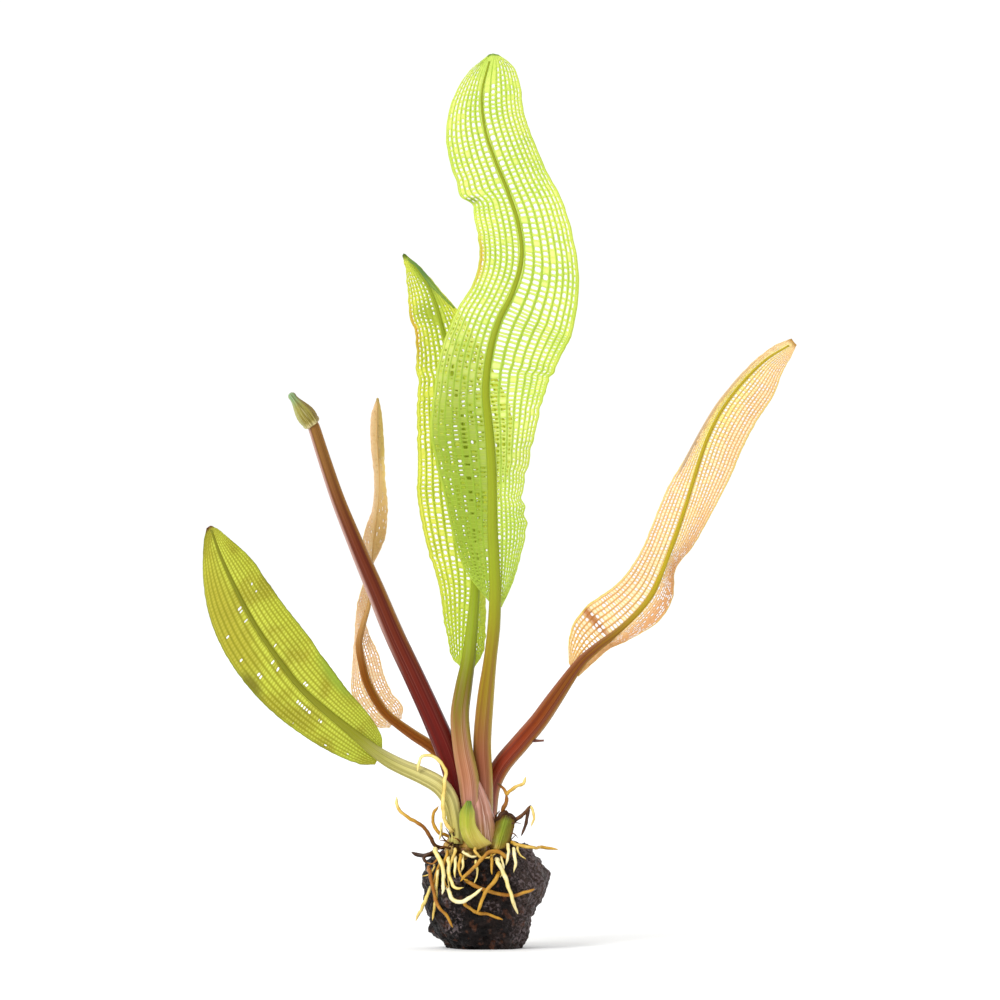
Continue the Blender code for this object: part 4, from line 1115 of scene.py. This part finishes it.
SECOND_ROLL = (
    (-20.3, 1.6, 172.6, 0.25), (-18.3, 2.6, 170.9, 0.55), (-16.1, 3.4, 168.3, 0.75),
    (-14.0, 4.0, 165.8, 0.7), (-11.6, 4.9, 163.1, 0.45), (-8.4, 6.0, 160.1, 0.2),
)
RIGHT_ROLL = (
    (47.2, 0.8, 117.6, 0.15), (49.6, -0.2, 122.2, 0.4), (53.6, -1.1, 129.4, 0.55),
    (57.7, -2.7, 136.0, 0.6), (62.5, -4.7, 142.0, 0.45), (66.6, -6.4, 146.6, 0.15),
)
SPUR = ((10.4, 4.5, 52.0, 0.6), (12.2, 4.4, 51.7, 0.38), (14.0, 4.2, 51.8, 0.26))
SPUR_SKIN = stalk_material(
    "spur_skin", (120, 66, 44), (112, 66, 60), (104, 62, 58), (120, 76, 62),
    (78, 40, 34), (162, 118, 100), (150, 104, 90), (96, 56, 44),
)
# The roll's darker green is partly the underside's own colour and partly painted shade inside the
# roll.
SECOND_ROLL_SKIN = stalk_material(
    "second_roll_skin", (136, 158, 48), (112, 146, 62), (98, 132, 66), (140, 168, 66),
    (76, 106, 46), (160, 184, 116), (104, 134, 44), (164, 188, 120),
)
RIGHT_ROLL_SKIN = stalk_material(
    "right_roll_skin", (222, 190, 150), (198, 170, 134), (186, 160, 128), (212, 180, 128),
    (164, 134, 104), (230, 210, 176), (216, 190, 152), (226, 200, 132),
)
grow_slim("second_leaf_roll", "second_leaf", SECOND_ROLL_SKIN, SECOND_ROLL, 0.5)
grow_slim("right_leaf_roll", "right_leaf", RIGHT_ROLL_SKIN, RIGHT_ROLL, 0.5)
grow_slim("right_leaf_spur", "right_leaf", SPUR_SKIN, SPUR, lump=0.3)

# %% [markdown]
# ## Flower stalk and bud
# The flower stalk is the plant's thickest stem, deep red where it leaves the crown and olive
# under the bud, with a painted pale highlight down its left side. The bud is a closed spike in
# its own bract: a ribbed drop with a blue-green tip and a pale collar, which is an outline spun
# round.

# %% Flower stalk
FLOWER_STALK = (
    (-6.9, 2.1, 28.8, 2.2),
    (-7.3, 2.1, 36.0, 2.5),
    (-8.4, 1.9, 43.0, 2.8),
    (-10.2, 1.6, 49.0, 2.9),
    (-14.2, 1.0, 58.4, 2.7),
    (-18.8, 0.4, 68.4, 2.6),
    (-23.6, -0.2, 78.6, 2.5),
    (-28.2, -0.8, 89.6, 2.3),
    (-32.8, -1.4, 100.4, 2.0),
    (-37.4, -2.0, 111.8, 1.75),
    (-41.0, -2.6, 122.4, 1.6),
    (-43.5, -3.0, 130.2, 1.5),
)
INTO_BUD = (-44.2, -3.1, 131.5, 1.4)
# Its left side colour is a painted pale highlight over the upper part of the stalk.
FLOWER_SKIN = stalk_material(
    "flower_stalk_skin", (84, 12, 22), (104, 24, 18), (106, 46, 24), (140, 100, 44),
    (66, 14, 14), (146, 84, 72), (196, 158, 148), (158, 108, 44),
    (0.2, 0.66, 1.0), (0.45, 0.4, 0.85), (0.36, 3.0),
)
centres, radii = route(FLOWER_STALK + (INTO_BUD,), 1.4)
bm = rolled_rod(centres, radii, 32, 11, 0.025)
finish_piece("flower_stem", bm, FLOWER_SKIN, "flower_stalk")

# %% Flower bud
BUD_OUTLINE = ((1.3, -0.35), (1.9, -0.15), (2.2, 0.2), (2.3, 0.7), (2.2, 1.0), (2.32, 1.6),
               (2.38, 2.4), (2.3, 3.4), (2.05, 4.5), (1.7, 5.6), (1.35, 6.6), (1.1, 7.4),
               (0.98, 8.1), (1.04, 8.7), (0.9, 9.2), (0.5, 9.55), (0.1, 9.65))
BUD_FOOT, BUD_TIP = Vector((-43.8, -3.1, 130.9)), Vector((-49.4, -3.8, 138.6))
BUD_SKIN = stalk_material(
    "flower_bud_skin", (230, 214, 156), (142, 128, 54), (146, 138, 66), (122, 158, 112),
    (98, 84, 26), (212, 204, 146), (186, 188, 130), (122, 86, 32),
    (0.15, 0.55, 0.9), (0.6, 0.6, 0.5),
)


def spun_bud(outline, sides):
    bm = bmesh.new()
    line = [bm.verts.new((r, 0.0, h)) for r, h in outline]
    edges = [bm.edges.new(pair) for pair in zip(line, line[1:])]
    bmesh.ops.spin(bm, geom=line + edges, cent=(0, 0, 0), axis=(0, 0, 1), steps=sides,
                   angle=math.tau, use_merge=True)
    bmesh.ops.remove_doubles(bm, verts=bm.verts, dist=1e-5)
    bmesh.ops.holes_fill(bm, edges=[e for e in bm.edges if e.is_boundary], sides=0)
    return bm


bm = spun_bud(BUD_OUTLINE, 40)
bmesh.ops.subdivide_edges(bm, edges=bm.edges, cuts=1, use_grid_fill=True)
skin = bm.verts.layers.float_vector.new("skin")
lean = Vector((0, 0, 1)).rotation_difference(BUD_TIP - BUD_FOOT)
for vert in bm.verts:
    angle = math.atan2(vert.co.y, vert.co.x)
    up = max(0.0, min(1.0, (vert.co.z + 0.35) / 10.0))
    vert[skin] = (math.cos(angle), math.sin(angle), up)
    ribbed = 1.0 + 0.06 * math.cos(9 * angle + 0.6) * math.sin(math.pi * min(1.0, up * 1.2))
    vert.co.x *= ribbed
    vert.co.y *= ribbed
    vert.co = (BUD_FOOT + lean @ vert.co) * MM
finish_piece("flower_bud_scales", bm, BUD_SKIN, "flower_bud")

# %% [markdown]
# ## Bracts and sheath
# Two short scale leaves wrap the foot of the stalks. Each is a thick little blade with a
# swollen middle, so it is the same kind of surface as the leaves, without windows. Between
# them the bases of the stalks melt into one another in a ribbed sheath, a short flared rod.

# %% Bracts
FRONT_BRACT = (
    (-4.6, 25.2, -2.0, 24.9, 1.0, 26.3, -6.3, -6.9, -6.3),
    (-6.3, 27.8, -3.8, 27.4, -1.0, 28.0, -6.1, -6.9, -6.3),
    (-7.0, 31.0, -5.0, 30.8, -3.0, 31.0, -6.0, -6.7, -6.2),
    (-6.8, 34.2, -5.0, 34.4, -3.4, 34.2, -6.0, -6.6, -6.1),
    (-5.1, 36.8, -4.7, 37.0, -4.3, 36.8, -6.1, -6.3, -6.1),
)
RIGHT_BRACT = (
    (0.2, 25.2, 2.4, 24.7, 4.6, 25.4, -5.0, -5.7, -4.4),
    (0.5, 27.0, 3.1, 26.9, 5.7, 27.6, -3.9, -5.0, -3.2),
    (1.1, 29.2, 3.7, 29.2, 6.3, 29.8, -2.7, -3.9, -2.2),
    (2.0, 31.2, 4.3, 31.4, 6.5, 31.2, -2.0, -3.0, -1.7),
    (3.2, 32.8, 4.8, 33.2, 6.3, 32.6, -1.7, -2.3, -1.6),
)
STUB = ((1.9, -1.6, 31.4, 0.4), (3.0, -1.8, 32.8, 0.8), (4.4, -1.8, 33.5, 1.0),
        (5.8, -1.5, 33.1, 0.9), (6.6, -1.2, 31.8, 0.4))
FRONT_BRACT_SKIN = stalk_material(
    "front_bract_skin", (168, 138, 62), (196, 180, 82), (170, 180, 58), (84, 122, 44),
    (178, 156, 66), (214, 206, 130), (150, 164, 60), (206, 196, 110),
    (0.2, 0.6, 1.0), (0.4, 0.4, 0.4),
)
RIGHT_BRACT_SKIN = stalk_material(
    "right_bract_skin", (176, 146, 54), (140, 150, 40), (120, 138, 34), (62, 40, 20),
    (104, 88, 28), (190, 194, 96), (96, 58, 24), (110, 78, 30),
    (0.3, 0.8, 1.0), (0.45, 0.4, 0.85),
)


def grow_bract(name, node, material, marks, swell, thick):
    surface = Blade(marks, 30, 0.0, (0.1, 0.1), 0.0, 0.3, 5)
    bm = bmesh.new()
    bmesh.ops.create_grid(bm, x_segments=14, y_segments=30, size=1.0)
    skin = bm.verts.layers.float_vector.new("skin")
    for vert in bm.verts:
        across, j = vert.co.x, (vert.co.y + 1) * 15
        forward = swell * (1 - across * across) + 0.05 * math.cos(across * 18)
        vert[skin] = (across, 0.0, j / 30)
        vert.co = (surface(across * 2, j) - Vector((0.0, forward, 0.0))) * MM
    piece = finish_piece(name, bm, material, node)
    wall = piece.modifiers.new("thickness", "SOLIDIFY")
    wall.thickness = thick * MM
    wall.offset = 0.0
    return piece


grow_bract("front_bract_scale", "front_bract", FRONT_BRACT_SKIN, FRONT_BRACT, 0.5, 0.8)
grow_bract("right_bract_scale", "right_bract", RIGHT_BRACT_SKIN, RIGHT_BRACT, 0.5, 0.8)
STUB_SKIN = stalk_material(
    "stub_skin", (70, 44, 22), (52, 32, 18), (76, 46, 22), (60, 36, 18),
    (30, 18, 10), (128, 88, 48), (84, 52, 26), (110, 72, 32),
)
grow_slim("right_bract_stub", "right_bract", STUB_SKIN, STUB, lump=0.9, step=0.4)

# %% Sheath of the stalks
SHEATH = (
    (-2.3, -1.5, 24.4, 5.2), (-2.3, -1.5, 26.6, 5.0), (-2.4, -1.4, 29.4, 4.6),
    (-2.7, -1.4, 33.0, 4.0), (-3.2, -1.6, 37.0, 3.2), (-3.8, -2.0, 40.4, 2.3),
    (-4.3, -2.4, 43.4, 1.2),
)
SHEATH_SKIN = stalk_material(
    "sheath_skin", (150, 112, 48), (176, 134, 80), (204, 150, 132), (220, 168, 158),
    (126, 78, 52), (240, 206, 194), (170, 128, 88), (186, 130, 100),
    (0.2, 0.5, 1.0), (0.7, 0.6, 0.4),
)
centres, radii = route(SHEATH, 0.8)
bm = rolled_rod(centres, radii, 40, 13, 0.012, [0.86] * len(centres), lump=0.06)
finish_piece("stalk_sheath", bm, SHEATH_SKIN, "crown")

# %% [markdown]
# ## Tuber and crown
# Their solids already have the right place and outline, but they are coarse. A welded copy
# is cut finer and pushed in and out by noise, large lumps first and small pits last. Bump
# alone would leave the outline smooth, and the real tuber's edge is ragged. The crown's top
# is drawn up between the stalks, so that they don't stand on a flat face.

# %% Refine a solid
def refined_copy(node, cuts, dents, shape=None):
    """dents is a list of (size in mm, depth in mm); shape moves the points before them."""
    bm = bmesh.new()
    bm.from_mesh(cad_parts[node].data)
    bmesh.ops.remove_doubles(bm, verts=bm.verts, dist=1e-6)
    bmesh.ops.subdivide_edges(bm, edges=bm.edges, cuts=cuts, use_grid_fill=True)
    for _ in range(2):
        bmesh.ops.smooth_vert(bm, verts=[v for v in bm.verts if v.co.z > 0.4 * MM],
                              factor=0.5, use_axis_x=True, use_axis_y=True, use_axis_z=True)
    if shape:
        for vert in bm.verts:
            shape(vert.co)
    bm.normal_update()
    moves = {}
    for vert in bm.verts:
        push = sum(noise.noise(vert.co / (size * MM)) * depth * MM for size, depth in dents)
        out = vert.normal.copy()
        if vert.co.z < 0.3 * MM:
            out.z = 0.0
        moves[vert] = out * push
    for vert, move in moves.items():
        vert.co += move
        vert.co.z = max(vert.co.z, 0.0)
    return bm


# %% Tuber skin
tuber_skin, nodes, links, shader = new_material("tuber_skin")
tree = tuber_skin.node_tree
lumps = speckle(tree, 260.0, 5.0)
soil = speckle(tree, 1300.0, 3.0)
rust = speckle(tree, 420.0, 5.0)
sheen = speckle(tree, 150.0, 2.0)
pits = add(tree, "TexVoronoi")
where = add(tree, "TexCoord")
links.new(where.outputs["Object"], pits.inputs["Vector"])
pits.inputs["Scale"].default_value = 700.0
colour = blend(tree, ease(tree, lumps, 0.42, 0.7), tone(16, 12, 12), tone(38, 27, 24))
colour = blend(tree, sums(tree, "MULTIPLY", ease(tree, rust, 0.56, 0.68), 0.75), colour,
               tone(84, 50, 34))
spot = add(tree, "SeparateXYZ")
links.new(where.outputs["Object"], spot.inputs["Vector"])
# Painted highlight: towards the right the tuber is made lighter and purple-grey, and its grey
# specks show where the sheen noise is high and towards the right.
right_side = ease(tree, spot.outputs["X"], 0.003, 0.012)
lit = sums(tree, "ADD", ease(tree, sheen, 0.52, 0.7), right_side, True)
grey_specks_and_sheen = sums(tree, "MULTIPLY", ease(tree, soil, 0.46, 0.66), lit)
colour = blend(tree, sums(tree, "MULTIPLY", right_side, 0.3), colour, tone(96, 76, 68))
colour = blend(tree, sums(tree, "MULTIPLY", grey_specks_and_sheen, 0.75), colour, tone(120, 106, 108))
colour = blend(tree, ease(tree, pits.outputs["Distance"], 0.28, 0.05), colour, tone(8, 6, 7))
links.new(colour, shader.inputs["Base Color"])
rough = sums(tree, "ADD", sums(tree, "MULTIPLY", soil, 0.5), 0.2)
links.new(rough, shader.inputs["Roughness"])
height = sums(tree, "ADD", sums(tree, "MULTIPLY", pits.outputs["Distance"], 0.7), lumps)
height = sums(tree, "ADD", sums(tree, "MULTIPLY", soil, 0.5), height)
bump = add(tree, "Bump")
bump.inputs["Strength"].default_value = 1.0
bump.inputs["Distance"].default_value = 0.0009
links.new(height, bump.inputs["Height"])
links.new(bump.outputs["Normal"], shader.inputs["Normal"])
shader.inputs["Specular IOR Level"].default_value = 0.12

# %% Tuber
bm = refined_copy("tuber", 7, ((7.0, 0.6), (2.6, 0.7), (1.2, 0.5), (0.6, 0.3)))
finish_piece("tuber_body", bm, tuber_skin, "tuber")

# %% Crown
crown_skin, nodes, links, shader = new_material("crown_skin")
tree = crown_skin.node_tree
fibres = speckle(tree, 500.0, 4.0, None, (1.0, 1.0, 0.3))
blotch = speckle(tree, 230.0, 3.0)
colour = blend(tree, ease(tree, fibres, 0.38, 0.6), tone(166, 124, 50), tone(226, 190, 112))
colour = blend(tree, ease(tree, blotch, 0.5, 0.62), colour, tone(84, 54, 24))
shader.inputs["Specular IOR Level"].default_value = 0.15
links.new(colour, shader.inputs["Base Color"])
links.new(sums(tree, "ADD", sums(tree, "MULTIPLY", fibres, 0.3), 0.3), shader.inputs["Roughness"])
bump = add(tree, "Bump")
bump.inputs["Strength"].default_value = 0.8
bump.inputs["Distance"].default_value = 0.0006
links.new(fibres, bump.inputs["Height"])
links.new(bump.outputs["Normal"], shader.inputs["Normal"])


def draw_up(spot):
    """Raises the crown's top into a low dome and pulls its rim in."""
    x, y, z = spot / MM
    off = min(1.0, math.hypot((x + 3.0) / 7.2, (y - 1.6) / 6.4))
    rise = max(0.0, min(1.0, (z - 25.5) / 3.0))
    spot.z += 3.4 * rise * (1.0 - off * off) * MM
    spot.x -= 0.12 * rise * (x + 3.0) * MM
    spot.y -= 0.12 * rise * (y - 1.6) * MM


bm = refined_copy("crown", 5, ((4.0, 0.9), (1.8, 0.6), (0.9, 0.25)), draw_up)
finish_piece("crown_body", bm, crown_skin, "crown")

# %% [markdown]
# ## Roots
# Thin roots run over the tuber and stand up round the crown. Young ones are cream, older
# ones golden to dark brown, often changing along their length. Each row gives the radius,
# how far the root is lifted off what it lies on, how old its skin looks at its start and at
# its end, from 0 to 1, and then its places: x and z where it lies on something, x, y and z
# where it stands free. How far back a lying root is comes from rays shot at the solids.

# %% Root marks
ROOTS = (
    (0.60, 0.0, 0.22, 0.12, (-9.3, 29.6), (-10.7, 32.2), (-11.2, 36.5), (-10.9, 40.8),
     (-10.5, 43.6), (-11.7, 46.6), (-14.2, 48.3), (-16.2, 48.2), (-17.2, 46.6), (-17.6, 44.2)),
    (0.60, 0.0, 0.95, 0.12, (-11.6, -0.8, 25.1), (-13.3, -1.4, 25.6), (-14.6, -2.0, 28.2),
     (-16.0, -2.6, 30.2), (-18.4, -3.2, 31.9), (-20.8, -3.6, 33.4), (-22.5, -3.8, 35.3),
     (-22.7, -4.0, 38.0)),
    (0.55, 0.0, 0.45, 0.4, (-10.7, -1.0, 28.4), (-11.9, -1.2, 28.7), (-13.0, -1.4, 29.6),
     (-13.7, -1.5, 31.4), (-13.5, -1.6, 33.7), (-12.5, -1.6, 35.6)),
    (0.45, 0.0, 0.1, 0.15, (-11.6, -2.9, 31.4), (-11.6, -2.9, 29.4), (-12.2, -2.9, 27.0)),
    (0.70, 1.6, 0.12, 0.05, (-12.9, 24.2), (-11.6, 21.6), (-11.0, 19.0), (-11.1, 16.4),
     (-11.4, 13.8)),
    (0.60, 0.0, 0.1, 0.15, (-9.9, 21.8), (-9.8, 18.8), (-8.7, 16.3), (-7.3, 15.2), (-6.0, 15.6)),
    (0.65, 1.6, 0.02, 0.1, (-9.6, 14.6), (-9.0, 12.9), (-7.3, 12.0), (-5.2, 12.7), (-2.5, 14.8),
     (-1.3, 15.7)),
    (0.60, 1.6, 0.45, 0.4, (2.3, 18.4), (0.9, 16.4), (-0.8, 14.0), (-2.8, 9.2)),
    (0.65, 1.7, 0.5, 0.45, (4.2, 23.4), (2.4, 24.6), (0.2, 24.4), (-1.8, 22.6), (-4.0, 20.2),
     (-6.9, 17.2)),
    (0.60, 0.0, 0.5, 0.5, (-4.6, 16.9), (-2.3, 15.7), (0.8, 14.6), (4.3, 13.9), (7.8, 13.9),
     (11.8, 15.3)),
    (0.65, 1.6, 0.05, 0.08, (2.6, 21.8), (4.1, 18.9), (5.6, 14.4), (7.4, 9.0)),
    (0.55, 0.0, 0.5, 0.4, (-5.2, 11.0), (-3.9, 10.2), (-2.2, 9.3), (0.4, 8.9), (3.7, 7.5)),
    (0.60, 1.6, 0.6, 0.45, (-14.6, 19.4), (-13.7, 15.2), (-12.3, 11.0), (-10.3, 8.5),
     (-8.7, 5.8)),
    (0.50, 0.0, 0.1, 0.25, (-12.4, 19.4), (-12.9, 15.8), (-13.0, 12.6), (-13.9, 7.2)),
    (0.55, 0.0, 0.12, 0.2, (-14.7, 14.4), (-15.6, 12.0), (-16.8, 9.5), (-18.0, 6.8)),
    (0.60, 0.2, 0.3, 0.35, (5.4, 26.9), (6.9, 26.0), (9.5, 25.5), (13.0, 25.2), (17.6, 24.8)),
    (0.50, 0.2, 0.08, 0.1, (5.0, 25.2), (5.2, 23.6), (4.4, 21.0)),
    (0.55, 0.2, 0.05, 0.05, (6.5, 24.2), (6.9, 21.8), (6.5, 19.4)),
    (0.75, 0.0, 0.6, 0.55, (2.9, 1.4, 28.9), (3.3, 1.0, 32.0), (3.6, 0.4, 34.4),
     (4.5, -0.2, 36.6), (4.7, -0.4, 38.6)),
    (0.55, 0.0, 0.35, 0.15, (5.6, -0.5, 39.4), (6.8, -0.8, 40.4), (8.6, -0.8, 41.0),
     (9.5, -0.6, 41.8), (9.5, -0.4, 42.9)),
    (0.50, 0.0, 0.35, 0.8, (3.8, -0.5, 39.8), (2.9, -0.6, 40.6), (2.2, -0.6, 41.2)),
    (0.65, 0.0, 0.8, 0.75, (7.2, -0.9, 32.2), (8.6, -0.6, 33.2), (9.7, -0.4, 34.2),
     (10.7, -0.2, 35.8)),
    (0.50, 0.0, 0.85, 0.8, (9.7, -0.4, 32.4), (9.2, -0.6, 30.4), (8.4, -0.8, 28.0)),
    (0.40, 0.0, 0.12, 0.2, (11.2, -0.2, 34.4), (11.5, -0.4, 32.6), (10.9, -0.8, 30.4)),
    (0.45, 0.0, 0.05, 0.05, (-5.4, 23.9), (-4.0, 23.2), (-2.4, 23.6)),
    (0.50, 0.0, 0.05, 0.1, (-8.1, 22.0), (-8.2, 19.8), (-8.1, 17.8)),
    (0.50, 0.0, 0.45, 0.4, (0.9, 22.6), (1.0, 20.8), (1.1, 19.0)),
    (0.45, 0.0, 0.08, 0.1, (-6.3, 22.4), (-6.3, 20.8), (-6.9, 19.2)),
    (0.60, 0.0, 0.9, 0.85, (-14.6, -5.6, 23.7), (-15.7, -5.7, 23.4), (-16.1, -5.8, 22.1),
     (-15.2, -6.4, 21.1)),
)
OLD_ROOT = (0.70, 0.0, 1.0, 0.95, (-13.4, -3.4, 23.6), (-15.2, -3.2, 23.3), (-17.0, -3.0, 23.4),
            (-19.0, -3.0, 24.1))

# %% Depth of what a root lies on
GAP = 0.3
trees = []
for node in ("tuber", "crown", "front_bract", "right_bract", "left_leaf"):
    bm = bmesh.new()
    bm.from_mesh(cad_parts[node].data)
    trees.append(BVHTree.FromBMesh(bm))
    bm.free()


def front_depth(x, z):
    hits = [t.ray_cast(Vector((x, -60, z)) * MM, Vector((0, 1, 0)))[0] for t in trees]
    depths = [hit.y / MM for hit in hits if hit is not None]
    return min(depths) if depths else None


def root_route(radius, lift, places):
    standing = len(places[0]) == 3
    flat = [Vector(p) if standing else Vector((p[0], 0.0, p[1])) for p in places]
    length = sum((b - a).length for a, b in zip(flat, flat[1:]))
    count = max(2, round(length / 2.0))
    points = [smooth_point(flat, at) for at in even_places(flat, count)]
    if standing:
        return points
    reach = radius + GAP
    depths = []
    for p in points:
        round_it = [front_depth(p.x + dx, p.z + dz) for dx in (-reach, 0, reach)
                    for dz in (-reach, 0, reach)]
        round_it = [d for d in round_it if d is not None]
        depths.append(min(round_it) - reach - lift if round_it else None)
    known = [i for i, d in enumerate(depths) if d is not None]
    for i, p in enumerate(points):
        p.y = depths[min(known, key=lambda k: abs(k - i))]
    low = [min(q.y for q in points[max(0, i - 1): i + 2]) for i in range(len(points))]
    return [Vector((p.x, y, p.z)) for p, y in zip(points, low)]


# %% Root skin
root_skin, nodes, links, shader = new_material("root_skin")
tree = root_skin.node_tree
age = add(tree, "Attribute", attribute_name="age").outputs["Fac"]
blotch = speckle(tree, 450.0, 3.0)
worn = sums(tree, "ADD", age, sums(tree, "MULTIPLY", sums(tree, "SUBTRACT", blotch, 0.5), 0.35),
            clamp=True)
ramp = add(tree, "ValToRGB")
links.new(worn, ramp.inputs["Fac"])
steps = ((0.0, tone(250, 240, 196)), (0.15, tone(242, 218, 130)), (0.35, tone(208, 160, 56)),
         (0.55, tone(158, 100, 34)), (0.8, tone(84, 50, 22)), (1.0, tone(34, 22, 16)))
for k, (at, value) in enumerate(steps):
    stop = ramp.color_ramp.elements[k] if k < 2 else ramp.color_ramp.elements.new(at)
    stop.position = at
    stop.color = value
sides = add(tree, "SeparateXYZ")
links.new(add(tree, "Attribute", attribute_name="skin").outputs["Vector"], sides.inputs["Vector"])
# Painted shade: both flanks of each root are made darker and more saturated, in blotches.
flank_shade = ease(tree, sums(tree, "ABSOLUTE", sides.outputs["X"]), 0.45, 1.0)
shaded_root_tone = add(tree, "HueSaturation")
shaded_root_tone.inputs["Saturation"].default_value = 1.35
shaded_root_tone.inputs["Value"].default_value = 0.55
links.new(ramp.outputs["Color"], shaded_root_tone.inputs["Color"])
amount = sums(tree, "MULTIPLY", flank_shade, sums(tree, "MULTIPLY", blotch, 1.2), True)
links.new(blend(tree, amount, ramp.outputs["Color"], shaded_root_tone.outputs["Color"]),
          shader.inputs["Base Color"])
shader.inputs["Specular IOR Level"].default_value = 0.25
links.new(sums(tree, "ADD", sums(tree, "MULTIPLY", blotch, 0.3), 0.3), shader.inputs["Roughness"])
bump = add(tree, "Bump")
bump.inputs["Strength"].default_value = 0.4
bump.inputs["Distance"].default_value = 0.0002
links.new(blotch, bump.inputs["Height"])
links.new(bump.outputs["Normal"], shader.inputs["Normal"])


# %% Grow the roots
def grow_root(name, node, row, foot=None):
    """foot is where a standing root comes from; a lying one bends back into the tuber."""
    radius, lift, young, old, *places = row
    points = root_route(radius, lift, places)
    if foot:
        points.insert(0, Vector(foot))
    elif len(places[0]) == 2:
        back = (points[0] - points[1]).normalized()
        points.insert(0, points[0] + back * 0.9 + Vector((0.0, lift + 2 * radius + 1.0, 0.2)))
    count = (len(points) - 1) * 5
    spots, radii = [], []
    for i, at in enumerate(even_places(points, count)):
        t = i / count
        spot = smooth_point(points, at)
        spots.append(spot + noise.noise_vector(spot * 0.45) * 0.25)
        blunt = min(1.0, math.sqrt(max(0.02, (1 - t) * count / 3.0)))
        radii.append(0.84 * radius * (1.0 - 0.3 * t * t) * blunt)
    bm = rolled_rod(spots, radii, 12, lump=0.3)
    age = bm.verts.layers.float.new("age")
    skin = bm.verts.layers.float_vector["skin"]
    for vert in bm.verts:
        vert[age] = young + (old - young) * vert[skin].z
    return finish_piece(name, bm, root_skin, node)


FEET = {
    2: (-9.9, -0.4, 25.4), 3: (-9.2, -0.8, 27.6), 19: (2.4, 1.6, 26.5), 20: (4.8, -0.4, 38.2),
    21: (4.8, -0.4, 38.2), 22: (4.8, -0.8, 31.0), 23: (10.2, -0.3, 34.6), 24: (10.7, -0.2, 35.5),
    29: (-13.4, -5.0, 24.2),
}
for number, row in enumerate(ROOTS, start=1):
    grow_root(f"root_strand_{number:02d}", f"root_{number:02d}", row,
              FEET.get(number))
grow_root("old_root_strand", "old_root", OLD_ROOT, (-12.2, -3.6, 23.8))

# %% [markdown]
# ## Rootlets and dead fibres
# Between the roots that have a solid of their own, the plant carries a tangle of finer ones,
# and dark dead fibres stand off the crown's left side. Each tangle is one mesh: short rods
# are made one by one and added up.

# %% Rootlets and fibres
ROOTLETS = (
    (0.42, 0.1, (-8.2, 24.4), (-9.2, 21.6), (-9.9, 18.4), (-9.6, 15.6)),
    (0.40, 0.3, (-6.8, 23.0), (-7.3, 20.6), (-6.4, 18.2), (-4.6, 17.2)),
    (0.40, 0.3, (-3.2, 24.6), (-1.6, 23.0), (0.8, 23.2), (1.9, 24.0)),
    (0.38, 0.1, (-10.2, 23.8), (-11.2, 20.2), (-10.6, 16.6), (-9.0, 14.4)),
    (0.36, 0.1, (-12.0, 21.6), (-13.2, 18.0), (-13.8, 14.4)),
    (0.36, 0.2, (-3.0, 21.6), (-2.6, 19.0), (-3.6, 16.4)),
    (0.34, 0.1, (3.4, 22.8), (3.9, 20.4), (3.1, 18.2)),
    (0.30, 0.1, (-12.6, 22.6), (-14.0, 21.2), (-15.2, 21.6)),
    (0.30, 0.1, (-13.4, 20.4), (-14.8, 18.6), (-16.4, 18.2)),
    (0.34, 0.1, (7.4, 24.8), (8.2, 23.4), (9.4, 22.6)),
)
FIBRES = (
    ((-8.6, -3.9, 26.4), (-9.6, -4.8, 28.6), (-10.6, -4.9, 30.2), 0.22),
    ((-9.0, -3.8, 25.8), (-10.6, -4.8, 26.9), (-12.0, -4.6, 27.0), 0.25),
    ((-8.0, -4.4, 26.0), (-9.2, -5.6, 26.4), (-10.0, -5.8, 25.4), 0.3),
    ((-9.4, -3.6, 25.0), (-11.2, -4.6, 25.4), (-12.6, -4.6, 24.6), 0.32),
    ((-7.8, -4.2, 27.4), (-8.6, -5.4, 28.6), (-8.4, -5.7, 30.2), 0.2),
    ((-6.9, -4.6, 26.4), (-7.6, -5.9, 27.4), (-8.8, -6.0, 27.8), 0.24),
    ((-10.0, -3.0, 26.4), (-11.4, -3.8, 28.0), (-11.6, -4.0, 29.8), 0.18),
    ((4.0, -2.8, 26.2), (5.6, -3.8, 27.2), (7.0, -3.6, 28.4), 0.24),
    ((4.2, -2.6, 28.0), (6.2, -3.4, 28.8), (7.6, -3.2, 27.6), 0.2),
    ((4.4, -2.0, 30.4), (6.4, -2.6, 31.4), (8.2, -2.2, 31.2), 0.26),
    ((1.8, -0.6, 31.4), (2.0, -1.2, 33.2), (3.0, -1.6, 34.4), 0.28),
)


def tangle(name, node, material, rods, sides=9):
    """One mesh of many short rods, each given as its centres and radii in mm, and its age."""
    whole = bmesh.new()
    whole.verts.layers.float_vector.new("skin")
    whole.verts.layers.float.new("age")
    for centres, radii, how_old in rods:
        rod = rolled_rod(centres, radii, sides, lump=0.4)
        age = rod.verts.layers.float.new("age")
        for vert in rod.verts:
            vert[age] = how_old
        bmesh.ops.recalc_face_normals(rod, faces=rod.faces)
        step = bpy.data.meshes.new("step")
        rod.to_mesh(step)
        rod.free()
        whole.from_mesh(step)
        bpy.data.meshes.remove(step)
    return finish_piece(name, whole, material, node)


def tapered(points, radius):
    count = (len(points) - 1) * 5
    spots = [smooth_point(points, at) for at in even_places(points, count)]
    return spots, [radius * (1.0 - 0.7 * (i / count) ** 2) for i in range(count + 1)]


chance = random.Random(3)
rods = []
for radius, lift, *places in ROOTLETS:
    points = root_route(radius, lift, places)
    points.insert(0, points[0] + Vector((0.0, lift + 1.6, 0.6)))
    rods.append((*tapered(points, radius), chance.uniform(0.1, 0.6)))
tangle("fine_rootlets", "root_25", root_skin, rods)
rods = [(*tapered([Vector(p) for p in row[:3]], row[3]), chance.uniform(0.55, 0.95))
        for row in FIBRES]
tangle("crown_fibres", "crown", root_skin, rods)
